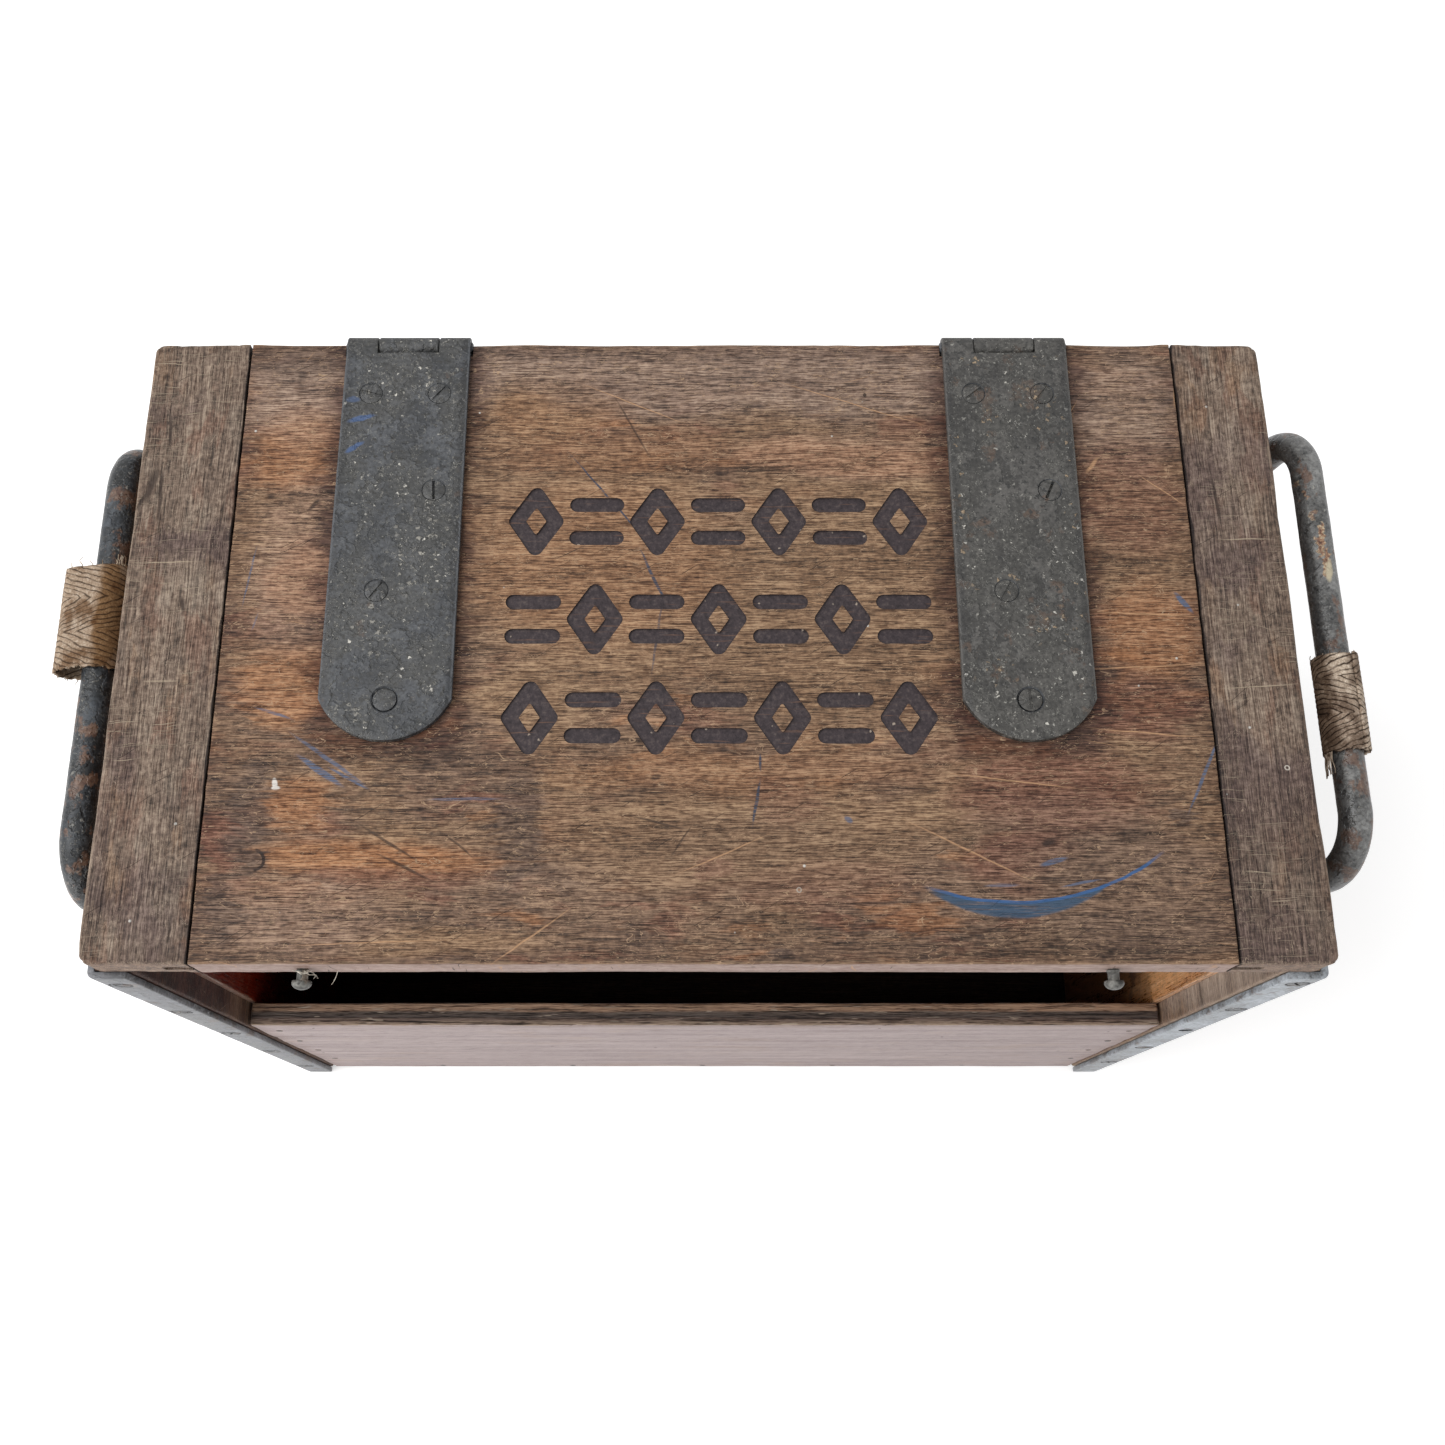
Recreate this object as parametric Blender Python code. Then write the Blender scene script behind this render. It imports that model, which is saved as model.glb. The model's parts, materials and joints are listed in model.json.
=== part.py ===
# Storage box: an upright wooden transit case with a hinged lid and an open upper front.
# Steel angles guard its four corners, and a swinging rod handle hangs on each side.
# Metres, +X to the right, +Y to the back, +Z up. The origin is the centre of the underside.
import math

import bmesh
import bpy
from mathutils import Matrix, Vector
from mathutils.geometry import convex_hull_2d

# Whole box, measured over the boards
BOX_WIDTH = 0.4572
BOX_DEPTH = 0.2580
BOX_HEIGHT = 0.3600

# Boards
WALL_THICKNESS = 0.0127
BACK_THICKNESS = 0.0127
FLOOR_THICKNESS = 0.0127
LINING_THICKNESS = 0.0030
WALL_FRONT_RECESS = 0.0008
FRONT_PANEL_THICKNESS = 0.0107
FRONT_PANEL_HEIGHT = 0.1840
FRONT_PANEL_END_GAP = 0.0015
BATTEN_WIDTH = 0.0160
BATTEN_DEPTH = 0.0120
BATTEN_HEIGHT = 0.0780

# Lid: a panel with a cross-grain cleat on each end, joined by tongue and groove
LID_THICKNESS = 0.0175
LEFT_CLEAT_WIDTH = 0.0395
RIGHT_CLEAT_WIDTH = 0.0357
CLEAT_CORNER_RADIUS = 0.0045
CLEAT_JOINT_GAP = 0.0008
TONGUE_THICKNESS = 0.0045
TONGUE_LENGTH = 0.0110
RIGHT_TONGUE_SETBACK = 0.0120

# Clearances and the overrun of every cut
FIT_GAP = 0.0003
CUT_OVERRUN = 0.0100

# Steel corner angles
ANGLE_THICKNESS = 0.0028
ANGLE_LEG = 0.0150
ANGLE_BEND_RADIUS = 0.0028
ANGLE_TOP_GAP = 0.0005

# Strap hinges
HINGE_SPACING = 0.2460
LEAF_WIDTH = 0.0508
LEAF_THICKNESS = 0.0028
LEAF_END_SHARE = 1.09
LID_STRAP_LENGTH = 0.1726
BACK_LEAF_LENGTH = 0.1120
KNUCKLE_RADIUS = 0.0042
KNUCKLE_CLEARANCE = 0.0004
MIDDLE_KNUCKLE_WIDTH = 0.0246
PIN_RADIUS = 0.0023
PIN_OVERHANG = 0.0008
LID_NOTCH_SIDE_GAP = 0.0023

# Rod handles, each with two cast lugs
HANDLE_ROD_RADIUS = 0.00635
HANDLE_SPAN = 0.1890
HANDLE_RISE = 0.0500
HANDLE_BEND_RADIUS = 0.0220
FOOT_BEND_RADIUS = 0.0110
FOOT_LENGTH = 0.0330
PIVOT_BELOW_LID_TOP = 0.0730
PIVOT_STANDOFF = 0.0135
LUG_LENGTH = 0.0180
LUG_WALL = 0.0042
LUG_PLATE_THICKNESS = 0.0040
LUG_PLATE_HEIGHT = 0.0560
LUG_SIDE_GAP = 0.0008
LUG_BORE_CLEARANCE = 0.0004
LUG_WEB_ANGLE = math.radians(120)
LUG_WEB_SHARE = 1.2
LUG_SCREW_SHARE = 0.72
LEFT_HANDLE_LEAN = math.radians(2)
RIGHT_HANDLE_LEAN = math.radians(12)
LEFT_HANDLE_SHIFT = 0.0
RIGHT_HANDLE_SHIFT = 0.0085

# Webbing wound round the handles
WEBBING_THICKNESS = 0.0020
LEFT_WRAP_WIDTH = 0.0440
LEFT_WRAP_CENTRE = 0.0147
LEFT_WRAP_SLACK = 0.0100
LEFT_WRAP_DROOP = 0.0015
LEFT_LOOP_RADIUS = 0.0070
RIGHT_WRAP_WIDTH = 0.0400
RIGHT_WRAP_CENTRE = -0.0215

# Fasteners: head radius and shank radius of each kind, and how far each bites
ANGLE_SCREW_HEAD = 0.0038
ANGLE_SCREW_SHANK = 0.0017
ANGLE_SCREW_EDGE_BITE = 0.0150
LEAF_SCREW_HEAD = 0.0045
LEAF_SCREW_SHANK = 0.0021
SCREW_BITE_SHARE = 0.75
SCREW_SUNK = 0.0002
SLOT_WIDTH = 0.0012
SLOT_DEPTH = 0.0010
FIRST_SLOT_TURN = math.radians(35)
NEXT_SLOT_TURN = math.radians(58)
STUD_SHANK = 0.0021
STUD_HEAD = 0.0037
STUD_HEAD_HEIGHT = 0.0034
STUD_REACH = 0.0076
STUD_BITE = 0.0140
STUD_SPACING = 0.2980
STUD_HEIGHT_SHARE = 0.4

# Facets
SCREW_SIDES = 10
STUD_SIDES = 12
KNUCKLE_SIDES = 16
LEAF_END_STEPS = 16
ROUND_SIDES = 24

# Places that follow from the sizes above
half_width = BOX_WIDTH / 2
half_depth = BOX_DEPTH / 2
wall_front = -half_depth + WALL_FRONT_RECESS
wall_top = BOX_HEIGHT - LID_THICKNESS - FIT_GAP
wall_inner = half_width - WALL_THICKNESS
panel_back = wall_front + FRONT_PANEL_THICKNESS
back_front = half_depth - BACK_THICKNESS
lining_inner = wall_inner - FIT_GAP - LINING_THICKNESS
hinge_y = half_depth + FIT_GAP + LEAF_THICKNESS - KNUCKLE_RADIUS
hinge_z = BOX_HEIGHT + FIT_GAP + LEAF_THICKNESS - KNUCKLE_RADIUS
pivot_x = half_width + PIVOT_STANDOFF
pivot_z = BOX_HEIGHT - PIVOT_BELOW_LID_TOP
SIDES = {"left": -1, "right": 1}


def remove_everything():
    for item in list(bpy.data.objects):
        bpy.data.objects.remove(item, do_unlink=True)


def make_material(name, colour, roughness, metallic=0.0):
    material = bpy.data.materials.new(name)
    material.use_nodes = True
    shader = material.node_tree.nodes["Principled BSDF"]
    shader.inputs["Base Color"].default_value = (*colour, 1.0)
    shader.inputs["Roughness"].default_value = roughness
    shader.inputs["Metallic"].default_value = metallic
    material.diffuse_color = (*colour, 1.0)
    return material


def place(name, data, material, parent=None):
    item = bpy.data.objects.new(name, data)
    bpy.context.scene.collection.objects.link(item)
    item.data.materials.append(material)
    if parent is not None:
        item.parent = parent
    return item


def finish_mesh(name, bm, smooth_angle=None):
    bmesh.ops.remove_doubles(bm, verts=bm.verts, dist=1e-6)
    bmesh.ops.recalc_face_normals(bm, faces=bm.faces)
    mesh = bpy.data.meshes.new(name)
    bm.to_mesh(mesh)
    bm.free()
    if smooth_angle is not None:
        mesh.shade_smooth()
        mesh.set_sharp_from_angle(angle=smooth_angle)
    return mesh


def solid(name, bm, material, parent=None, smooth_angle=None):
    return place(name, finish_mesh(name, bm, smooth_angle), material, parent)


# A cutter is a guide: it is never rendered and is not part of the box
def cutter(name, bm):
    item = bpy.data.objects.new("cut_" + name, finish_mesh("cut_" + name, bm))
    bpy.context.scene.collection.objects.link(item)
    item.hide_render = True
    item.display_type = "WIRE"
    return item


def combine(target, other, operation="DIFFERENCE"):
    step = target.modifiers.new(operation.lower(), "BOOLEAN")
    step.operation = operation
    step.solver = "EXACT"
    step.object = other


def pivot(name, location, rotation=(0.0, 0.0, 0.0)):
    empty = bpy.data.objects.new(name, None)
    empty.location = location
    empty.rotation_euler = rotation
    bpy.context.scene.collection.objects.link(empty)
    return empty


# Hangs a mesh that was made in box coordinates on a pivot without moving it
def hang_on(item, empty):
    item.data.transform(Matrix.Translation(-empty.location))
    item.parent = empty


def add_box(bm, low, high):
    low = Vector(low)
    high = Vector(high)
    made = bmesh.ops.create_cube(bm, size=1.0)
    bmesh.ops.scale(bm, vec=high - low, verts=made["verts"])
    bmesh.ops.translate(bm, vec=(low + high) / 2, verts=made["verts"])


def box_solid(name, low, high, material, parent=None):
    bm = bmesh.new()
    add_box(bm, low, high)
    return solid(name, bm, material, parent)


# Extrudes a closed outline of points through a vector
def add_prism(bm, points, vector):
    face = bm.faces.new([bm.verts.new(point) for point in points])
    extruded = bmesh.ops.extrude_face_region(bm, geom=[face])
    moved = [part for part in extruded["geom"] if isinstance(part, bmesh.types.BMVert)]
    bmesh.ops.translate(bm, vec=Vector(vector), verts=moved)


# Turns a profile of (radius, height) pairs about local Z and sets it in place
def add_turned(bm, profile, sides, frame):
    before = set(bm.verts)
    verts = [bm.verts.new((radius, 0.0, height)) for radius, height in profile]
    edges = [bm.edges.new(pair) for pair in zip(verts, verts[1:])]
    bmesh.ops.spin(bm, geom=verts + edges, cent=(0, 0, 0), axis=(0, 0, 1),
                   angle=math.tau, steps=sides, use_merge=True)
    made = [vert for vert in bm.verts if vert not in before]
    bmesh.ops.transform(bm, matrix=frame, verts=made)


def arc(centre, radius, start, end, steps):
    angles = [start + (end - start) * step / steps for step in range(steps + 1)]
    return [(centre[0] + radius * math.cos(a), centre[1] + radius * math.sin(a)) for a in angles]


# Frame whose Z axis leaves a surface at a point
def facing(point, normal, turn=0.0):
    aim = Vector((0.0, 0.0, 1.0)).rotation_difference(Vector(normal)).to_matrix().to_4x4()
    return Matrix.Translation(point) @ aim @ Matrix.Rotation(turn, 4, "Z")


# Screws in a row have their slots turned one after the other
def slot_turn(number):
    return FIRST_SLOT_TURN + number * NEXT_SLOT_TURN


# The mesh of a slotted countersunk screw: its head is up and just below local zero
def screw_mesh(name, head, shank, length):
    profile = [(0.0, -SCREW_SUNK), (head, -SCREW_SUNK), (shank, -SCREW_SUNK - head + shank),
               (shank, -length), (0.0, -length)]
    bm = bmesh.new()
    add_turned(bm, profile, SCREW_SIDES, Matrix.Identity(4))
    blank = bpy.data.objects.new(name, finish_mesh(name + "_blank", bm))
    bpy.context.scene.collection.objects.link(blank)
    bm = bmesh.new()
    slot = Vector((SLOT_WIDTH / 2, head + FIT_GAP, SCREW_SUNK + SLOT_DEPTH))
    add_box(bm, -slot, slot)
    tool = cutter(name + "_slot", bm)
    combine(blank, tool)
    bpy.context.view_layer.update()
    slotted = blank.evaluated_get(bpy.context.evaluated_depsgraph_get())
    mesh = bpy.data.meshes.new_from_object(slotted)
    mesh.name = name
    bpy.data.objects.remove(blank)
    bpy.data.objects.remove(tool)
    return mesh


# Screws of one kind, each its own object, and one cutter for the holes that take them
def screw_set(name, seats, head, shank, length, material, hosts, parent=None):
    mesh = screw_mesh(name, head, shank, length)
    mesh.materials.append(material)
    hole = [(0.0, CUT_OVERRUN), (head + FIT_GAP, CUT_OVERRUN), (head + FIT_GAP, -SCREW_SUNK),
            (shank + FIT_GAP, -SCREW_SUNK - head + shank), (shank + FIT_GAP, -length - FIT_GAP),
            (0.0, -length - FIT_GAP)]
    holes = bmesh.new()
    for number, (point, normal, turn) in enumerate(seats, start=1):
        frame = facing(point, normal, turn)
        add_turned(holes, hole, SCREW_SIDES, frame)
        screw = bpy.data.objects.new(name + "_" + str(number), mesh)
        bpy.context.scene.collection.objects.link(screw)
        if parent is not None:
            screw.parent = parent
            frame = Matrix.Translation(-parent.location) @ frame
        screw.matrix_basis = frame
    drill = cutter(name + "_holes", holes)
    for host in hosts:
        combine(host, drill)


# Case boards

def build_boards(looks):
    boards = {}
    for side, sign in SIDES.items():
        inner, outer = sorted((sign * wall_inner, sign * half_width))
        boards["wall_" + side] = box_solid(
            "side_wall_" + side, (inner, wall_front, 0.0), (outer, half_depth, wall_top),
            looks["wall_wood"])
        outer = sign * (wall_inner - FIT_GAP)
        low, high = sorted((sign * lining_inner, outer))
        boards["lining_" + side] = box_solid(
            "lining_" + side, (low, panel_back + FIT_GAP, FLOOR_THICKNESS + FIT_GAP),
            (high, back_front - FIT_GAP, wall_top - FIT_GAP), looks["lining"])
        near = sign * (lining_inner - FIT_GAP)
        low, high = sorted((near, near - sign * BATTEN_WIDTH))
        boards["batten_" + side] = box_solid(
            "front_batten_" + side, (low, panel_back + FIT_GAP, FLOOR_THICKNESS + FIT_GAP),
            (high, panel_back + FIT_GAP + BATTEN_DEPTH, FLOOR_THICKNESS + FIT_GAP + BATTEN_HEIGHT),
            looks["batten_wood"])
    reach = wall_inner - FIT_GAP
    boards["back"] = box_solid(
        "back_wall", (-reach, back_front, 0.0), (reach, half_depth, wall_top), looks["wall_wood"])
    boards["floor"] = box_solid(
        "bottom_board", (-reach, panel_back + FIT_GAP, 0.0),
        (reach, back_front - FIT_GAP, FLOOR_THICKNESS), looks["batten_wood"])
    reach = wall_inner - FRONT_PANEL_END_GAP
    boards["front"] = box_solid(
        "front_panel", (-reach, wall_front, 0.0), (reach, panel_back, FRONT_PANEL_HEIGHT),
        looks["front_wood"])
    return boards


# Lid boards

def cleat_outline(sign, inner):
    corner = half_width - CLEAT_CORNER_RADIUS
    front = -half_depth + CLEAT_CORNER_RADIUS
    back = half_depth - CLEAT_CORNER_RADIUS
    points = [(inner, -half_depth)]
    points += arc((corner, front), CLEAT_CORNER_RADIUS, -math.pi / 2, 0.0, 4)
    points += arc((corner, back), CLEAT_CORNER_RADIUS, 0.0, math.pi / 2, 4)
    points.append((inner, half_depth))
    return [(sign * x, y) for x, y in points]


def build_lid(looks, lid_pivot):
    low = BOX_HEIGHT - LID_THICKNESS
    middle = BOX_HEIGHT - LID_THICKNESS / 2
    widths = {"left": LEFT_CLEAT_WIDTH, "right": RIGHT_CLEAT_WIDTH}
    shoulders = {}
    for side, sign in SIDES.items():
        inner = half_width - widths[side]
        shoulders[side] = inner - CLEAT_JOINT_GAP
        bm = bmesh.new()
        outline = [(x, y, low) for x, y in cleat_outline(sign, inner)]
        add_prism(bm, outline, (0.0, 0.0, LID_THICKNESS))
        cleat = solid("lid_cleat_" + side, bm, looks["cleat_wood"])
        groove = bmesh.new()
        deep = shoulders[side] + TONGUE_LENGTH + FIT_GAP
        near, far = sorted((sign * (inner - CUT_OVERRUN), sign * deep))
        half_groove = TONGUE_THICKNESS / 2 + FIT_GAP
        add_box(groove, (near, -half_depth - CUT_OVERRUN, middle - half_groove),
                (far, half_depth + CUT_OVERRUN, middle + half_groove))
        combine(cleat, cutter("groove_" + side, groove))
        hang_on(cleat, lid_pivot)

    left, right = -shoulders["left"], shoulders["right"]
    half_tongue = TONGUE_THICKNESS / 2
    section = [(left, low), (right, low), (right, middle - half_tongue),
               (right + TONGUE_LENGTH, middle - half_tongue),
               (right + TONGUE_LENGTH, middle + half_tongue), (right, middle + half_tongue),
               (right, BOX_HEIGHT), (left, BOX_HEIGHT), (left, middle + half_tongue),
               (left - TONGUE_LENGTH, middle + half_tongue),
               (left - TONGUE_LENGTH, middle - half_tongue), (left, middle - half_tongue)]
    bm = bmesh.new()
    add_prism(bm, [(x, -half_depth, z) for x, z in section], (0.0, BOX_DEPTH, 0.0))
    panel = solid("lid_panel", bm, looks["lid_wood"])
    waste = bmesh.new()
    add_box(waste, (right, -half_depth - CUT_OVERRUN, middle - TONGUE_THICKNESS),
            (right + TONGUE_LENGTH + CUT_OVERRUN, -half_depth + RIGHT_TONGUE_SETBACK,
             middle + TONGUE_THICKNESS))
    swing = KNUCKLE_RADIUS + KNUCKLE_CLEARANCE
    half_notch = LEAF_WIDTH / 2 + LID_NOTCH_SIDE_GAP
    for sign in SIDES.values():
        centre = sign * HINGE_SPACING / 2
        add_box(waste, (centre - half_notch, hinge_y - swing, hinge_z - swing),
                (centre + half_notch, half_depth + CUT_OVERRUN, BOX_HEIGHT + CUT_OVERRUN))
    combine(panel, cutter("lid_waste", waste))
    return panel


# Round-headed studs that stand out of the lid's front edge

def build_studs(looks, lid_pivot, panel):
    height = BOX_HEIGHT - LID_THICKNESS * (1 - STUD_HEIGHT_SHARE)
    neck = STUD_REACH - STUD_HEAD_HEIGHT
    dome = arc((0.0, neck), 1.0, 0.0, math.pi / 2, 4)
    rounded = [(STUD_HEAD * x, neck + STUD_HEAD_HEIGHT * (y - neck)) for x, y in dome]
    profile = [(0.0, -STUD_BITE), (STUD_SHANK, -STUD_BITE), (STUD_SHANK, neck)] + rounded
    hole = [(0.0, -STUD_BITE - FIT_GAP), (STUD_SHANK + FIT_GAP, -STUD_BITE - FIT_GAP),
            (STUD_SHANK + FIT_GAP, CUT_OVERRUN), (0.0, CUT_OVERRUN)]
    for side, sign in SIDES.items():
        frame = facing((sign * STUD_SPACING / 2, -half_depth, height), (0, -1, 0))
        bm = bmesh.new()
        add_turned(bm, profile, STUD_SIDES, frame)
        stud = solid("lid_stud_" + side, bm, looks["stud_steel"], smooth_angle=math.radians(40))
        hang_on(stud, lid_pivot)
        bm = bmesh.new()
        add_turned(bm, hole, STUD_SIDES, frame)
        combine(panel, cutter("stud_hole_" + side, bm))


# Strap hinges
# A leaf is made lying flat: its pin is on local X, its plate runs to -Y and its face is up.
# The back leaf is the same shape turned half round the line y = z, so that it hangs down.

LID_SCREW_SHARES = (("edge", 0.138), ("edge_other", 0.138), ("edge", 0.392),
                    ("inner", 0.645), ("middle", 0.906))
SCREW_OFFSET_SHARES = {"edge": 0.55, "edge_other": -0.55, "inner": -0.24, "middle": 0.0}
BACK_LEAF_TURN = Matrix(((-1, 0, 0, 0), (0, 0, 1, 0), (0, 1, 0, 0), (0, 0, 0, 1)))


def leaf_mesh(name, length, keep_middle, frame, material, smooth_angle):
    inner_face = KNUCKLE_RADIUS - LEAF_THICKNESS
    swing = KNUCKLE_RADIUS + KNUCKLE_CLEARANCE
    meeting = math.pi - math.asin(inner_face / KNUCKLE_RADIUS)
    round_part = arc((0.0, 0.0), KNUCKLE_RADIUS, math.pi / 2, meeting - math.tau, KNUCKLE_SIDES)
    outline = [(-length - CUT_OVERRUN, KNUCKLE_RADIUS)] + round_part
    outline.append((-length - CUT_OVERRUN, inner_face))
    reach = LEAF_WIDTH / 2 + CUT_OVERRUN
    bm = bmesh.new()
    add_prism(bm, [(-reach, y, z) for y, z in outline], (2 * reach, 0.0, 0.0))
    bmesh.ops.transform(bm, matrix=frame, verts=bm.verts)
    leaf = solid(name, bm, material, smooth_angle=smooth_angle)

    # The end is a little flatter than a half round, so it meets the sides at a corner
    half = LEAF_WIDTH / 2
    end_radius = LEAF_END_SHARE * half
    corner = math.acos(half / end_radius)
    plan = [(-half, KNUCKLE_RADIUS + CUT_OVERRUN)]
    plan += arc((0.0, end_radius - length), end_radius, corner - math.pi, -corner, LEAF_END_STEPS)
    plan.append((half, KNUCKLE_RADIUS + CUT_OVERRUN))
    bm = bmesh.new()
    add_prism(bm, [(x, y, -CUT_OVERRUN) for x, y in plan], (0.0, 0.0, 2 * CUT_OVERRUN))
    bmesh.ops.transform(bm, matrix=frame, verts=bm.verts)
    combine(leaf, cutter(name + "_plan", bm), "INTERSECT")

    half_middle = MIDDLE_KNUCKLE_WIDTH / 2
    bm = bmesh.new()
    if keep_middle:
        spans = ((-half - CUT_OVERRUN, -half_middle), (half_middle, half + CUT_OVERRUN))
    else:
        spans = ((-half_middle - KNUCKLE_CLEARANCE, half_middle + KNUCKLE_CLEARANCE),)
    for low, high in spans:
        add_box(bm, (low, -swing, -CUT_OVERRUN), (high, swing + CUT_OVERRUN, CUT_OVERRUN))
    bmesh.ops.transform(bm, matrix=frame, verts=bm.verts)
    combine(leaf, cutter(name + "_gaps", bm))
    bm = bmesh.new()
    pin_hole = [(0.0, -reach), (PIN_RADIUS + FIT_GAP, -reach), (PIN_RADIUS + FIT_GAP, reach),
                (0.0, reach)]
    add_turned(bm, pin_hole, KNUCKLE_SIDES, frame @ facing((0, 0, 0), (1, 0, 0)))
    combine(leaf, cutter(name + "_pin_hole", bm))
    return leaf


def leaf_seats(places, length, frame):
    seats = []
    for number, (where, share) in enumerate(places):
        across = SCREW_OFFSET_SHARES[where] * LEAF_WIDTH / 2
        point = frame @ Vector((across, -share * length, KNUCKLE_RADIUS))
        seats.append((point, frame.to_3x3() @ Vector((0, 0, 1)), slot_turn(number)))
    return seats


def build_hinges(looks, lid_pivot, panel):
    smooth = math.radians(35)
    for side, sign in SIDES.items():
        on_lid = Matrix.Translation((sign * HINGE_SPACING / 2, hinge_y, hinge_z))
        on_back = on_lid @ BACK_LEAF_TURN
        strap = leaf_mesh("lid_strap_" + side, LID_STRAP_LENGTH, False, on_lid,
                          looks["painted_steel"], smooth)
        leaf_mesh("back_leaf_" + side, BACK_LEAF_LENGTH, True, on_back,
                  looks["painted_steel"], smooth)
        screw_set("strap_screw_" + side, leaf_seats(LID_SCREW_SHARES, LID_STRAP_LENGTH, on_lid),
                  LEAF_SCREW_HEAD, LEAF_SCREW_SHANK,
                  LEAF_THICKNESS + SCREW_BITE_SHARE * LID_THICKNESS, looks["screw_steel"],
                  (strap, panel), lid_pivot)
        hang_on(strap, lid_pivot)
        reach = LEAF_WIDTH / 2 + PIN_OVERHANG
        bm = bmesh.new()
        add_turned(bm, [(0.0, -reach), (PIN_RADIUS, -reach), (PIN_RADIUS, reach), (0.0, reach)],
                   KNUCKLE_SIDES, on_lid @ facing((0, 0, 0), (1, 0, 0)))
        solid("hinge_pin_" + side, bm, looks["screw_steel"], smooth_angle=smooth)


# Corner angles: an L of rolled steel along each upright edge
# Screws run down each front angle. A row is the drop of its first screw and its pitch, as
# shares of the angle's height, then the number of places and the places left empty.

FRONT_ROW_SHARES = {"left": (0.047, 0.214, 5, ()), "right": (0.036, 0.202, 5, (2,))}


def row_heights(row, top):
    first, pitch, count, empty = row
    return [top * (1 - first - pitch * step) for step in range(count) if step not in empty]


def angle_outline(sign_x, sign_y, face_y):
    outer_x = half_width + FIT_GAP + ANGLE_THICKNESS
    outer_y = face_y + FIT_GAP + ANGLE_THICKNESS
    bend = (outer_x - ANGLE_BEND_RADIUS, outer_y - ANGLE_BEND_RADIUS)
    points = [(outer_x - ANGLE_LEG, outer_y)]
    points += arc(bend, ANGLE_BEND_RADIUS, math.pi / 2, 0.0, 3)
    points += [(outer_x, outer_y - ANGLE_LEG), (outer_x - ANGLE_THICKNESS, outer_y - ANGLE_LEG),
               (outer_x - ANGLE_THICKNESS, outer_y - ANGLE_THICKNESS),
               (outer_x - ANGLE_LEG, outer_y - ANGLE_THICKNESS)]
    return [(sign_x * x, sign_y * y) for x, y in points]


def build_angles(looks, boards):
    top = wall_top - ANGLE_TOP_GAP
    mid_x = half_width + FIT_GAP + ANGLE_THICKNESS - ANGLE_LEG / 2
    for side, sign in SIDES.items():
        for end, way, face in (("front", -1, -wall_front), ("rear", 1, half_depth)):
            bm = bmesh.new()
            outline = [(x, y, 0.0) for x, y in angle_outline(sign, way, face)]
            add_prism(bm, outline, (0.0, 0.0, top))
            angle = solid("corner_angle_" + end + "_" + side, bm, looks["angle_steel"])
            if end == "front":
                surface = wall_front - FIT_GAP - ANGLE_THICKNESS
                seats = [((sign * mid_x, surface, height), (0, way, 0), slot_turn(row))
                         for row, height in enumerate(row_heights(FRONT_ROW_SHARES[side], top))]
                screw_set("angle_screw_" + side, seats, ANGLE_SCREW_HEAD, ANGLE_SCREW_SHANK,
                          ANGLE_THICKNESS + FIT_GAP + ANGLE_SCREW_EDGE_BITE,
                          looks["screw_steel"], (angle, boards["wall_" + side]))


# Handles

def bail_points():
    half = HANDLE_SPAN / 2
    points = [(half - FOOT_LENGTH, 0.0)]
    points += arc((half - FOOT_BEND_RADIUS, FOOT_BEND_RADIUS), FOOT_BEND_RADIUS,
                  -math.pi / 2, 0.0, 5)
    points += arc((half - HANDLE_BEND_RADIUS, HANDLE_RISE - HANDLE_BEND_RADIUS),
                  HANDLE_BEND_RADIUS, 0.0, math.pi / 2, 7)
    return points + [(-y, z) for y, z in reversed(points)]


def build_bail(name, empty, material):
    curve = bpy.data.curves.new(name, "CURVE")
    curve.dimensions = "3D"
    curve.bevel_depth = HANDLE_ROD_RADIUS
    curve.bevel_resolution = 4
    curve.use_fill_caps = True
    points = bail_points()
    line = curve.splines.new("POLY")
    line.points.add(len(points) - 1)
    for point, (y, z) in zip(line.points, points):
        point.co = (0.0, y, z, 1.0)
    line.use_smooth = True
    return place(name, curve, material, empty)


# A lug is a cast plate with a bored boss, extruded along the pivot
def build_lug(name, sign, centre_y, material):
    boss = HANDLE_ROD_RADIUS + LUG_BORE_CLEARANCE + LUG_WALL
    wall_x = -PIVOT_STANDOFF + FIT_GAP
    plate_x = wall_x + LUG_PLATE_THICKNESS
    half_height = LUG_PLATE_HEIGHT / 2
    outline = [(wall_x, -half_height), (wall_x, half_height), (plate_x, half_height),
               (plate_x, boss * LUG_WEB_SHARE)]
    outline += arc((0.0, 0.0), boss, LUG_WEB_ANGLE, -LUG_WEB_ANGLE, ROUND_SIDES // 2)
    outline += [(plate_x, -boss * LUG_WEB_SHARE), (plate_x, -half_height)]
    half = LUG_LENGTH / 2
    bm = bmesh.new()
    add_prism(bm, [(sign * (pivot_x + x), centre_y - half, pivot_z + z) for x, z in outline],
              (0.0, LUG_LENGTH, 0.0))
    lug = solid(name, bm, material, smooth_angle=math.radians(35))
    bm = bmesh.new()
    bore = HANDLE_ROD_RADIUS + LUG_BORE_CLEARANCE
    reach = half + CUT_OVERRUN
    add_turned(bm, [(0.0, -reach), (bore, -reach), (bore, reach), (0.0, reach)], ROUND_SIDES,
               facing((sign * pivot_x, centre_y, pivot_z), (0, 1, 0)))
    combine(lug, cutter(name + "_bore", bm))
    return lug


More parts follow.
